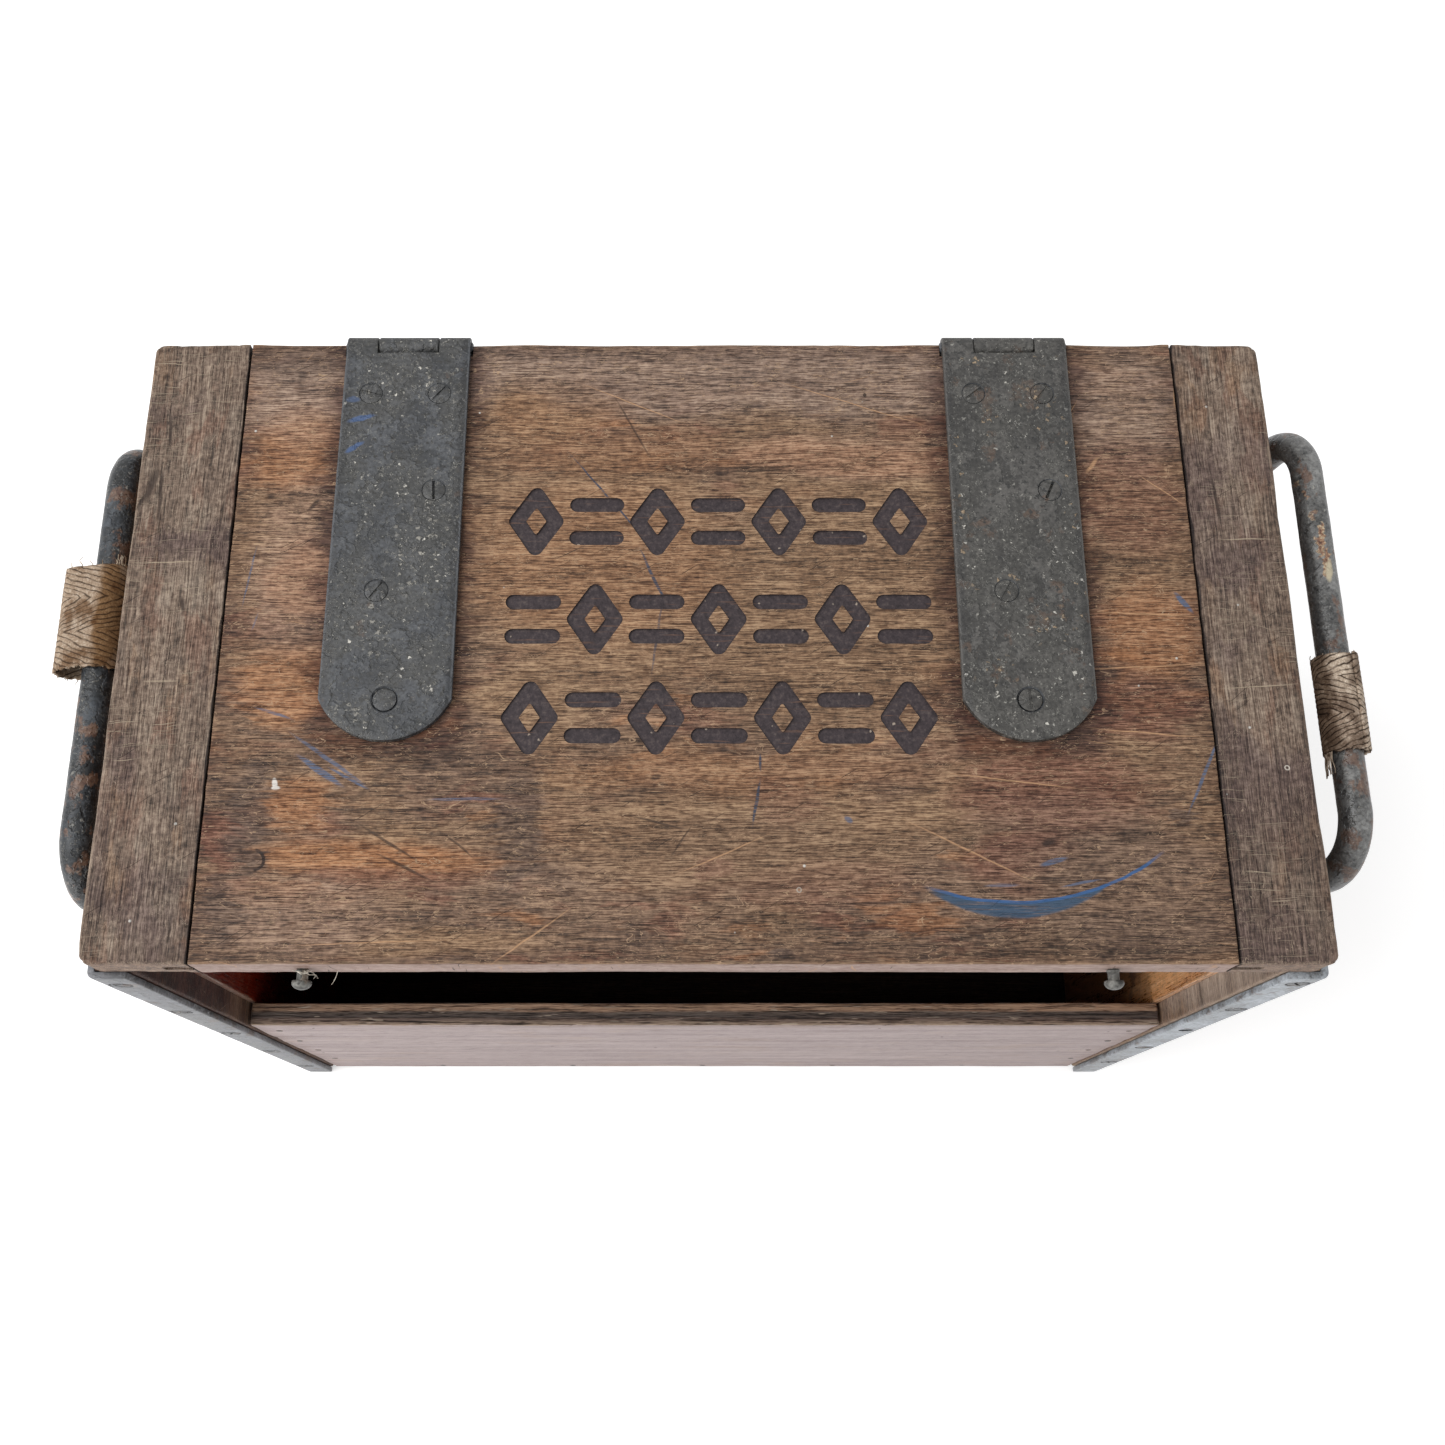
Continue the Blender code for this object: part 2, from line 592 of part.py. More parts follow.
def build_handles(looks, boards):
    leans = {"left": LEFT_HANDLE_LEAN, "right": RIGHT_HANDLE_LEAN}
    shifts = {"left": LEFT_HANDLE_SHIFT, "right": RIGHT_HANDLE_SHIFT}
    pivots = {}
    lug_reach = HANDLE_SPAN / 2 - FOOT_BEND_RADIUS - LUG_SIDE_GAP - LUG_LENGTH / 2
    for side, sign in SIDES.items():
        centre = shifts[side]
        empty = pivot("handle_pivot_" + side, (sign * pivot_x, centre, pivot_z),
                      (0.0, sign * leans[side], 0.0))
        build_bail("handle_bail_" + side, empty, looks["handle_steel"])
        lugs = []
        seats = []
        for end, way in (("front", -1), ("rear", 1)):
            centre_y = centre + way * lug_reach
            lugs.append(build_lug("handle_lug_" + side + "_" + end, sign, centre_y,
                                  looks["painted_steel"]))
            face = sign * (half_width + FIT_GAP + LUG_PLATE_THICKNESS)
            for up in (-1, 1):
                height = pivot_z + up * LUG_SCREW_SHARE * LUG_PLATE_HEIGHT / 2
                seats.append(((face, centre_y, height), (sign, 0, 0), slot_turn(len(seats))))
        screw_set("lug_screw_" + side, seats, LEAF_SCREW_HEAD, LEAF_SCREW_SHANK,
                  LUG_PLATE_THICKNESS + FIT_GAP + SCREW_BITE_SHARE * WALL_THICKNESS,
                  looks["screw_steel"], lugs + [boards["wall_" + side]])
        pivots[side] = empty
    return pivots


# Webbing: a loose sleeve on the left handle and a tight one on the right

def ring_outline(radius, loop_radius, reach, droop):
    points = arc((0.0, 0.0), radius, 0.0, math.tau, ROUND_SIDES)[:-1]
    if reach > 0.0:
        points += arc((reach, -droop), loop_radius, 0.0, math.tau, ROUND_SIDES)[:-1]
        points = [points[index] for index in convex_hull_2d([Vector(p) for p in points])]
    return points


def build_wrap(side, empty, centre, width, slack, droop, loop_radius, material):
    sign = SIDES[side]
    inner = HANDLE_ROD_RADIUS + FIT_GAP
    start = centre - empty.location.y - width / 2
    rings = []
    for extra, overrun in ((WEBBING_THICKNESS, 0.0), (0.0, CUT_OVERRUN)):
        outline = ring_outline(inner + extra, loop_radius + extra, slack, droop)
        bm = bmesh.new()
        add_prism(bm, [(sign * x, start - overrun, HANDLE_RISE + z) for x, z in outline],
                  (0.0, width + 2 * overrun, 0.0))
        rings.append(bm)
    wrap = solid("webbing_wrap_" + side, rings[0], material, empty, math.radians(40))
    hollow = cutter("webbing_wrap_" + side, rings[1])
    hollow.parent = empty
    combine(wrap, hollow)


def build():
    remove_everything()
    looks = {
        "lid_wood": make_material("lid_wood", (0.205, 0.098, 0.055), 0.62),
        "cleat_wood": make_material("cleat_wood", (0.150, 0.092, 0.062), 0.68),
        "wall_wood": make_material("wall_wood", (0.190, 0.115, 0.078), 0.66),
        "front_wood": make_material("front_wood", (0.330, 0.235, 0.215), 0.66),
        "batten_wood": make_material("batten_wood", (0.260, 0.160, 0.095), 0.7),
        "lining": make_material("lining", (0.430, 0.170, 0.050), 0.45),
        "painted_steel": make_material("painted_steel", (0.050, 0.055, 0.060), 0.5, 0.25),
        "angle_steel": make_material("angle_steel", (0.200, 0.225, 0.250), 0.42, 0.4),
        "handle_steel": make_material("handle_steel", (0.070, 0.080, 0.085), 0.5, 0.25),
        "screw_steel": make_material("screw_steel", (0.085, 0.090, 0.095), 0.5, 0.5),
        "stud_steel": make_material("stud_steel", (0.420, 0.420, 0.400), 0.4, 0.7),
        "webbing": make_material("webbing", (0.330, 0.235, 0.145), 0.9),
    }
    boards = build_boards(looks)
    lid_pivot = pivot("lid_pivot", (0.0, hinge_y, hinge_z))
    panel = build_lid(looks, lid_pivot)
    build_studs(looks, lid_pivot, panel)
    build_hinges(looks, lid_pivot, panel)
    hang_on(panel, lid_pivot)
    build_angles(looks, boards)
    pivots = build_handles(looks, boards)
    build_wrap("left", pivots["left"], LEFT_WRAP_CENTRE, LEFT_WRAP_WIDTH, LEFT_WRAP_SLACK,
               LEFT_WRAP_DROOP, LEFT_LOOP_RADIUS, looks["webbing"])
    build_wrap("right", pivots["right"], RIGHT_WRAP_CENTRE, RIGHT_WRAP_WIDTH, 0.0, 0.0,
               0.0, looks["webbing"])
    bpy.context.view_layer.update()


build()
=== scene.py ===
# Storage box: worn boards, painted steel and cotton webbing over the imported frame
import json
import math

import bmesh
import bpy
from mathutils import Matrix, Vector, noise
from mathutils.geometry import convex_hull_2d


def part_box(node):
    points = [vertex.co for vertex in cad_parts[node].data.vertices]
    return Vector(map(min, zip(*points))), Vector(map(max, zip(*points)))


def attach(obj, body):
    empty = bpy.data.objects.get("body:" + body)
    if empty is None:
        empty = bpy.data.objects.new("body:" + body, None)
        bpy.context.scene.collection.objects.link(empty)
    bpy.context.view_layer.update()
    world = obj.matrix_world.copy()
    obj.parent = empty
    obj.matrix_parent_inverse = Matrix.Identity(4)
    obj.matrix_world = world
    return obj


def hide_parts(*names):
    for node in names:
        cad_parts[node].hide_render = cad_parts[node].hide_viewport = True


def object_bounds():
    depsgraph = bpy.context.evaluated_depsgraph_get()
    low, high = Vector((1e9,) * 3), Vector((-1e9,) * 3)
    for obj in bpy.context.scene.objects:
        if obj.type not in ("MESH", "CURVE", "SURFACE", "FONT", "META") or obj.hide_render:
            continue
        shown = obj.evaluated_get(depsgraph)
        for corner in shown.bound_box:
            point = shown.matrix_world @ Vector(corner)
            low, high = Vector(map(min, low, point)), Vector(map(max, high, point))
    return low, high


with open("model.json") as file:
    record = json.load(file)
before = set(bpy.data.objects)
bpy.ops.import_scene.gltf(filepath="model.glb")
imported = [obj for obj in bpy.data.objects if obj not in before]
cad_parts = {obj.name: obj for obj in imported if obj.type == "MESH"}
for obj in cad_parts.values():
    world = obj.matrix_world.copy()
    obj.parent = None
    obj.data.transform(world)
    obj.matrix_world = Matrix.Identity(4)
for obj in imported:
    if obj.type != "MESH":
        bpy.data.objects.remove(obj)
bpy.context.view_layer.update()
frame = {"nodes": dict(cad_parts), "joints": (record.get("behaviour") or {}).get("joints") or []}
nodes = frame["nodes"]
joints = {joint["name"]: joint for joint in frame["joints"]}
sides = {"left": -1, "right": 1}
print("frame loaded,", len(nodes), "nodes")


def triple(value):
    return value if isinstance(value, tuple) else (value,) * 3


# Node graphs. Sizes and places in them are metres on the object. Tables of spots, arcs and dents are in
# millimetres.
class Finish:
    def __init__(self, name):
        self.material = bpy.data.materials.new(name)
        self.material.use_nodes = True
        self.tree = self.material.node_tree
        self.here = self.add("TexCoord").outputs["Object"]
        self.colour = None

    def add(self, kind, wires=(), **settings):
        made = self.tree.nodes.new("ShaderNode" + kind)
        for key, value in settings.items():
            setattr(made, key, value)
        self.wire(made, wires)
        return made

    def wire(self, made, wires):
        for key, value in dict(wires).items():
            if isinstance(value, bpy.types.NodeSocket):
                self.tree.links.new(value, made.inputs[key])
            elif isinstance(value, tuple) and made.inputs[key].type == "RGBA":
                made.inputs[key].default_value = (*value, 1.0)
            else:
                made.inputs[key].default_value = value

    def calc(self, how, *values):
        return self.add("Math", enumerate(values), operation=how).outputs[0]

    def times(self, made, *values):
        for value in values:
            made = self.calc("MULTIPLY", made, value)
        return made

    # 0.5 plus each value's distance from 0.5 times its weight
    def total(self, *pairs):
        made = 0.5 - sum(weight for _, weight in pairs) / 2
        for value, weight in pairs:
            made = self.calc("MULTIPLY_ADD", value, weight, made)
        return made

    def vector(self, how, *values, output=0):
        return self.add("VectorMath", enumerate(values), operation=how).outputs[output]

    def part(self, where, axis):
        return self.add("SeparateXYZ", {0: where}).outputs[axis]

    # 0 at the first value and 1 at the second, which may be the lower one
    def fade(self, value, start, end, low=0.0, high=1.0):
        wires = {"Value": value, "From Min": start, "From Max": end, "To Min": low, "To Max": high}
        return self.add("MapRange", wires, interpolation_type="SMOOTHSTEP").outputs[0]

    def ramp(self, value, *stops):
        made = self.add("ValToRGB", {"Fac": value})
        band = made.color_ramp
        while len(band.elements) < len(stops):
            band.elements.new(0.5)
        for element, (place, colour) in zip(band.elements, stops):
            element.position = place
            element.color = (*colour, 1.0)
        return made.outputs[0]

    # One more tint over the colour so far. An amount of several factors is their product.
    def lay(self, amount, tint, how="MIX"):
        if isinstance(amount, tuple):
            amount = self.times(*amount)
        wires = {0: amount, 6: self.colour, 7: tint}
        self.colour = self.add("Mix", wires, data_type="RGBA", blend_type=how).outputs[2]

    def stain(self, amount, tint):
        self.lay(amount, tint, "MULTIPLY")

    # The object's coordinates turned about a place and measured in the given size
    def sized(self, size, turn=0.0, place=(0.0, 0.0, 0.0), where=None):
        wires = {"Vector": where or self.here, "Location": place, "Rotation": (0.0, 0.0, math.radians(turn)),
                 "Scale": triple(size)}
        return self.add("Mapping", wires, vector_type="TEXTURE").outputs[0]

    def cloud(self, size, detail=2.0, rough=0.55, turn=0.0, where=None, place=(0.0, 0.0, 0.0), output="Fac"):
        wires = {"Vector": self.sized(size, turn, place, where), "Scale": 1.0, "Detail": detail,
                 "Roughness": rough}
        return self.add("TexNoise", wires).outputs[output]

    # Coordinates pushed about by a coloured noise
    def pushed(self, where, shake, reach):
        shake = self.vector("SUBTRACT", shake, triple(0.5))
        return self.vector("ADD", where, self.vector("MULTIPLY", shake, triple(reach)))

    def bent(self, size, reach, where=None):
        return self.pushed(where or self.here, self.cloud(size, 1.0, where=where, output="Color"), reach)

    # Distance of a noise from its middle, which is 0 along curled lines
    def curl(self, value):
        return self.calc("ABSOLUTE", self.calc("SUBTRACT", value, 0.5))

    def uneven(self, distance, shake, reach):
        return self.calc("MULTIPLY_ADD", self.calc("SUBTRACT", shake, 0.5), reach, distance)

    def cells(self, size, where=None):
        return self.add("TexVoronoi", {"Vector": self.sized(size, where=where), "Scale": 1.0}).outputs

    # Dots in cells, in a random share of them
    def dots(self, size, edge, share, where=None):
        cells = self.cells(size, where)
        chosen = self.fade(self.add("SeparateColor", {0: cells["Color"]}).outputs[0], *share)
        return self.times(self.fade(cells["Distance"], *edge), chosen)

    # A soft oval: its place, half sizes and turn, and its strength where that isn't 1.
    # Seen from above, it goes through the whole thickness.
    def oval(self, spot, where, soft):
        x, y, long, wide = (length / 1000 for length in spot[:4])
        turn, strength = (*spot[4:], 1.0)[:2]
        out = 1.0 + soft
        flat = self.sized((long * out, wide * out, 10.0 * out), turn, (x, y, 0.0), where)
        ball = self.add("TexGradient", {"Vector": flat}, gradient_type="SPHERICAL")
        return self.fade(ball.outputs["Fac"], 0.0, 2.0 * soft / out, 0.0, strength)

    def ovals(self, spots, where, soft=0.35):
        made = self.oval(spots[0], where, soft)
        for spot in spots[1:]:
            made = self.calc("MAXIMUM", made, self.oval(spot, where, soft))
        return made

    # Nearness to a box's sides, seen from above: 1 at the box, 0 at the reach
    def near(self, low, high, reach, where):
        centre = [(a + b) / 2 for a, b in zip(low, high)]
        half = [(b - a) / 2 for a, b in zip(low, high)]
        away = self.vector("ABSOLUTE", self.vector("SUBTRACT", where, (centre[0], centre[1], 0.0)))
        away = self.vector("MAXIMUM", self.vector("SUBTRACT", away, (half[0], half[1], 1.0)), triple(0.0))
        return self.fade(self.vector("LENGTH", away, output="Value"), reach, 0.0)

    # Distance inwards from the nearer end of the box along some axes
    def inward(self, low, high, axes):
        parts = self.add("SeparateXYZ", {0: self.here}).outputs
        made = None
        for axis in axes:
            away = self.calc("ABSOLUTE", self.calc("SUBTRACT", parts[axis], (low[axis] + high[axis]) / 2))
            left = self.calc("SUBTRACT", (high[axis] - low[axis]) / 2, away)
            made = left if made is None else self.calc("MINIMUM", made, left)
        return made

    def done(self, rough, height, depth, metal=0.0, specular=0.5):
        bump = self.add("Bump", {"Height": height, "Strength": 0.9, "Distance": depth})
        self.wire(self.tree.nodes["Principled BSDF"], {
            "Base Color": self.colour, "Roughness": rough, "Metallic": metal, "Specular IOR Level": specular,
            "Normal": bump.outputs[0]})
        return self.material


# What a board has where its own settings don't say otherwise
plainWood = {
    "axes": (0, 1, 2), "topOnly": False, "weights": (0.6, 1.0, 1.2, 0.8), "streaks": 0.034, "blush": (),
    "drifts": (), "patches": (), "halos": (), "seamShades": (), "gloom": 0.0, "front": None, "hairs": 0.5,
    "poreFrom": (0.58, 0.67), "hairFrom": (0.5, 0.6), "lined": 0.7, "scratches": (), "gouges": (),
    "dents": (), "paint": (), "arcs": (), "specular": 0.35,
}


# Worn wood. Each tone is dark, middle and pale, and the grain shows through all of them.
# Upright boards swap their axes, so that their broad face lies in the graph's X and Y.
def woodFinish(name, look, low, high):
    f = Finish(name)
    axes = look["axes"]
    if axes != (0, 1, 2):
        parts = f.add("SeparateXYZ", {0: f.here}).outputs
        f.here = f.add("CombineXYZ", enumerate(parts[axis] for axis in axes)).outputs[0]
        low, high = ([corner[axis] for axis in axes] for corner in (low, high))
    run = axes.index(look["grain"])
    faces = [axes.index(axis) for axis in look["faces"]]

    def size(along, across):
        return tuple(along if axis == run else across for axis in range(3))

    wavy = f.bent(size(0.11, 0.022), 0.0035)
    ragged = f.bent(size(0.012, 0.0013), size(0.016, 0.004), f.bent(size(0.04, 0.012), size(0.02, 0.012)))
    lightly = f.bent(0.012, (0.0022, 0.0022, 0.0))
    spotted, painted = ragged, f.bent(0.01, (0.001, 0.001, 0.0))
    if look["topOnly"]:  # under the middle, spots and paint are moved away
        middle = (low[2] + high[2]) / 2
        away = f.add("CombineXYZ", {0: f.fade(f.part(f.here, 2), middle, middle - 0.001)}).outputs[0]
        spotted, painted = f.vector("ADD", ragged, away), f.vector("ADD", painted, away)
    figure = f.cloud(size(0.15, 0.0085), 3.0, 0.6, where=wavy)
    streak = f.cloud(size(look["streaks"], 0.00095), 3.0, 0.65, where=wavy)
    fibre = f.cloud(size(0.012, 0.00045), 2.0, 0.65, where=wavy)
    mottle = f.cloud((0.003, 0.0024, 0.0024), 4.0, 0.7)
    tone = f.total(*zip((figure, streak, fibre, mottle), look["weights"]))

    def shades(tones):
        return f.ramp(tone, *zip((0.16, 0.5, 0.86), tones))

    f.colour = shades(look["brown"])
    drift = f.cloud((0.075, 0.045, 0.045), 2.0, 0.5, where=ragged)
    for tones, place, start, most in look["blush"]:
        blush = f.cloud(size(0.045, 0.015), 3.0, 0.6, where=ragged, place=(place, place * 2, 0.0))
        f.lay(f.fade(blush, start, start + 0.1, 0.0, most), shades(tones))
    for tones, start, end in look["drifts"]:
        f.lay(f.fade(drift, start, end), shades(tones))
    for tones, spots in look["patches"]:
        f.lay(f.ovals(spots, spotted), shades(tones))
    edge = f.uneven(f.inward(low, high, faces), mottle, 0.006)
    f.stain(f.fade(edge, 0.012, 0.0, 0.0, look["grime"]), look["dirt"])
    # Darker round the straps, out to 11 mm
    for box in look["halos"]:
        f.stain((f.near(*box, 0.011, spotted), 0.85), (0.32, 0.25, 0.27))

    pores = f.fade(f.cloud(size(0.0065, 0.0004), 1.0, where=wavy), *look["poreFrom"])
    f.stain((pores, look["pores"]), (0.3, 0.23, 0.2))
    cracks = f.fade(f.cloud(size(0.04, 0.0008), 2.0, 0.6, where=wavy), 0.655, 0.71)
    f.stain((cracks, look["cracks"]), (0.22, 0.16, 0.15))
    worn = f.fade(drift, 0.38, 0.62, 0.25, 1.0)
    bare = f.fade(f.cloud(size(0.005, 0.0007), 2.0, 0.6, where=wavy), 0.58, 0.7)
    f.lay((bare, worn, look["bare"]), look["pale"])
    hairs = f.curl(f.cloud((0.006, 0.0038, 0.0045), 2.0, 0.6, where=ragged))
    broken = f.fade(f.cloud(0.007, 2.0, place=(0.1, 0.0, 0.0)), *look["hairFrom"])
    f.lay((f.fade(hairs, 0.013, 0.004), broken, look["hairs"]), look["pale"])
    rubbed = f.uneven(f.inward(*look.get("rubbed", (low, high)), faces), fibre, 0.006)
    f.lay(f.fade(rubbed, look["rim"], 0.0, 0.0, 0.5), look["pale"])
    # Painted shade in the narrow joints beside the cleats
    for box in look["seamShades"]:
        f.lay((f.near(*box, 0.0006, lightly), 0.9), (0.012, 0.008, 0.008))
    if look["gloom"]:  # the light that doesn't reach far down
        f.stain(f.fade(f.part(ragged, axes.index(2)), 0.185, 0.125, 0.0, look["gloom"]), (0.1, 0.06, 0.05))
    if look["front"]:
        facing = f.fade(f.part(f.add("NewGeometry").outputs["Normal"], 1), -0.8, -0.97)
        f.lay((facing, 0.85), shades(look["front"]))

    # Scratches: fields of fine lines at some slants, and those that stand out
    some = f.fade(f.cloud(0.05, 2.0, place=(0.3, 0.1, 0.0)), 0.42, 0.62)
    lines = None
    for turn, threshold in look["slants"]:
        field = f.cloud((0.024, 0.0005, 0.024), 1.0, turn=turn, where=lightly)
        field = f.fade(field, threshold, threshold + 0.05)
        lines = field if lines is None else f.calc("MAXIMUM", lines, field)
    lines = f.times(lines, some)
    if look["scratches"]:
        lines = f.calc("MAXIMUM", lines, f.ovals(look["scratches"], painted, 0.5))
    lines = f.times(lines, f.fade(fibre, 0.25, 0.45, 0.35, 1.0))
    f.lay((lines, look["lined"]), look["scratch"])
    gouges = f.fade(f.cloud((0.022, 0.0005, 0.02), 1.0, turn=31, where=lightly), 0.715, 0.76)
    if look["gouges"]:
        gouges = f.calc("MAXIMUM", gouges, f.ovals(look["gouges"], painted, 0.5))
    gouges = f.times(gouges, f.fade(mottle, 0.32, 0.48, 0.4, 1.0))
    f.lay((gouges, 0.82), (0.03, 0.019, 0.015))
    for tint, spots in look["paint"]:
        thin = f.fade(fibre, 0.38, 0.52, 0.15, 1.0)
        f.lay((f.ovals(spots, painted, 0.3), thin), tint)
    for arc in look["arcs"]:
        f.lay((arcMask(f, arc, painted), f.fade(streak, 0.25, 0.5, 0.35, 0.95)), arc["colour"])
    speck = f.dots(0.013, (0.055, 0.03), (0.72, 0.74))
    f.lay((speck, look["specks"]), (0.62, 0.6, 0.56))
    hole = f.fade(f.cells(0.021, f.bent(0.01, 0.004))["Distance"], 0.045, 0.028)
    f.lay((hole, 0.8), (0.022, 0.014, 0.01))

    height = f.total((streak, 0.8), (fibre, 0.9), (mottle, 0.3))
    relief = ((pores, -0.35), (cracks, -0.7), (lines, -0.35), (gouges, -0.6), (hole, -1.0), (speck, 0.6))
    for value, weight in relief:
        height = f.calc("MULTIPLY_ADD", value, weight, height)
    return f.done(f.fade(tone, 0.2, 0.8, *look["rough"]), height, look["depth"], specular=look["specular"])


# A brushed arc of paint: a line of one circle, or the crescent between it and a second one
def arcMask(f, arc, bent):
    gaps = []
    circles = [[length / 1000 for length in circle] for circle in arc["circles"]]
    for x, y, radius in circles:
        flat = f.vector("MULTIPLY", f.vector("SUBTRACT", bent, (x, y, 0.0)), (1.0, 1.0, 0.0))
        gaps.append(f.calc("SUBTRACT", f.vector("LENGTH", flat, output="Value"), radius))
    parts = f.add("SeparateXYZ", {0: f.vector("SUBTRACT", f.here, (*circles[0][:2], 0.0))}).outputs
    along = f.calc("ARCTAN2", parts[1], parts[0])
    start, end, soft = (math.radians(angle) for angle in arc["span"])
    ends = f.times(f.fade(along, start, start + soft), f.fade(along, end, end - soft))
    if len(gaps) == 1:
        width = arc["width"] / 1000
        body = f.fade(f.calc("ABSOLUTE", gaps[0]), width * 1.3, width * 0.6)
    else:
        body = f.times(f.fade(gaps[0], -0.0003, 0.0003), f.fade(gaps[1], 0.0006, -0.0006))
    bristles = f.add("CombineXYZ", {"X": f.times(along, 2.5), "Y": f.times(gaps[0], 1300.0)}).outputs[0]
    lines = f.add("TexNoise", {"Vector": bristles, "Scale": 1.0, "Detail": 2.0}).outputs["Fac"]
    return f.times(body, ends, f.fade(lines, 0.3, 0.44, arc["thin"], 1.0))


# What painted steel has where its own settings don't say otherwise
plainSteel = {
    "broad": 0.016, "broken": 0.6, "blotchy": 1.4, "peel": 0.16, "rustSize": 0.012, "chips": (), "crusts": (),
    "crowd": (0.36, 0.56, 0.22), "box": None, "marks": (), "metal": 0.0, "specular": 0.5,
}
# Grit: the size of its cells, the share of them that stays empty, and its colour
grits = ((0.003, 0.8, (0.52, 0.5, 0.45)), (0.0018, 0.66, (0.33, 0.32, 0.29)),
         (0.0012, 0.7, (0.24, 0.235, 0.215)))


# Painted steel: paint with flakes, grit stuck in it, rust, and edges partly rubbed and partly given a painted
# highlight
def steelFinish(name, look):
    f = Finish(name)
    look = {**plainSteel, **look}
    broad = f.cloud(look["broad"], 4.0, look["broken"])
    fine = f.cloud(0.0016, 3.0, 0.65)
    plates = f.fade(f.cloud(0.0065, 3.0, 0.55, place=(0.2, 0.4, 0.1)), 0.47, 0.53)
    tone = f.total((broad, look["blotchy"]), (fine, 1.1), (plates, look["peel"]))
    f.colour = f.ramp(tone, (0.1, look["dark"]), (0.5, look["paint"]), (0.9, look["light"]))
    rust = f.cloud(look["rustSize"], 4.0, 0.6, place=(0.1, 0.0, 0.3))
    rust = f.fade(rust, look["rustFrom"], look["rustFrom"] + 0.06)
    f.lay((rust, look["rustAmount"]), f.ramp(fine, (0.3, look["rust"]), (0.7, look["rustPale"])))
    if look["chips"]:
        rusty = ((0.36, (0.1, 0.034, 0.02)), (0.5, (0.33, 0.185, 0.105)), (0.62, (0.56, 0.46, 0.31)))
        f.lay(f.ovals(look["chips"], f.bent(0.0025, 0.0055), 0.15), f.ramp(fine, *rusty))
    scuffed = f.fade(f.cloud((0.02, 0.0006, 0.02), 1.0, turn=24), 0.68, 0.74)
    f.lay((scuffed, 0.5), look["scuff"])
    height = f.total((fine, 0.35), (plates, 0.55), (broad, 0.4))
    if look["grit"]:
        height = layGrit(f, look, fine, height)
    # Darker a few millimetres in from the sides, and at the very edge a paler line, partly rubbed paint and
    # partly a painted highlight
    if look["box"]:
        rim = f.uneven(f.inward(*look["box"], (0,)), fine, 0.0022)
        f.stain(f.fade(rim, 0.0046, 0.0016, 0.0, 0.8), (0.6, 0.6, 0.62))
        f.lay(f.fade(rim, 0.0009, 0.0003, 0.0, 0.6), look["light"])
    for tint, spots in look["marks"]:
        f.lay(f.ovals(spots, f.bent(0.004, (0.0015, 0.0015, 0.0)), 0.3), tint)
    rough = f.fade(tone, 0.2, 0.8, *look["rough"])
    return f.done(rough, height, look["depth"], look["metal"], look["specular"])


def layGrit(f, look, fine, height):
    start, end, least = look["crowd"]
    crowd = f.fade(f.cloud((0.02, 0.03, 0.02), 2.0, place=(0.0, 0.2, 0.0)), start, end, least, 1.0)
    if look["crusts"]:
        crusts = f.ovals(look["crusts"], f.bent(0.006, (0.006, 0.006, 0.0)), 0.5)
        crowd = f.calc("MAXIMUM", crowd, crusts)
    jumbled = f.bent(0.0011, 0.0024)
    curls = f.curl(f.cloud(0.0026, 1.0, where=jumbled))
    pits = f.fade(f.cloud(0.0022, 2.0, 0.6, place=(0.6, 0.1, 0.2)), 0.57, 0.64)
    f.lay((pits, 0.75 * look["grit"]), triple(0.018))
    broken = f.fade(f.cloud(0.0035, 2.0, place=(0.3, 0.0, 0.1)), 0.5, 0.56)
    curls = f.times(f.fade(curls, 0.034, 0.014), broken, crowd)
    f.lay((curls, 0.75 * look["grit"]), (0.3, 0.29, 0.265))
    height = f.calc("MULTIPLY_ADD", curls, 0.6, height)
    f.lay((crowd, 0.4 * look["grit"]), f.ramp(fine, (0.3, (0.02, 0.019, 0.017)), (0.7, (0.1, 0.096, 0.086))))
    for grain, limit, pale in grits:
        spot = f.times(f.dots(grain, (0.26, 0.14), (limit, limit + 0.02), jumbled), crowd, look["grit"])
        f.lay(spot, pale)
        height = f.calc("MULTIPLY_ADD", spot, 0.9, height)
    if look["crusts"]:  # bits of old paint, larger and warmer than the grit
        scattered = f.bent(0.0015, (0.0034, 0.0034, 0.0))
        bits = f.times(f.dots((0.0034, 0.0026, 0.003), (0.3, 0.2), (0.4, 0.42), scattered), crusts)
        f.lay(bits, look["bits"])
        height = f.calc("MULTIPLY_ADD", bits, 1.2, height)
    return height


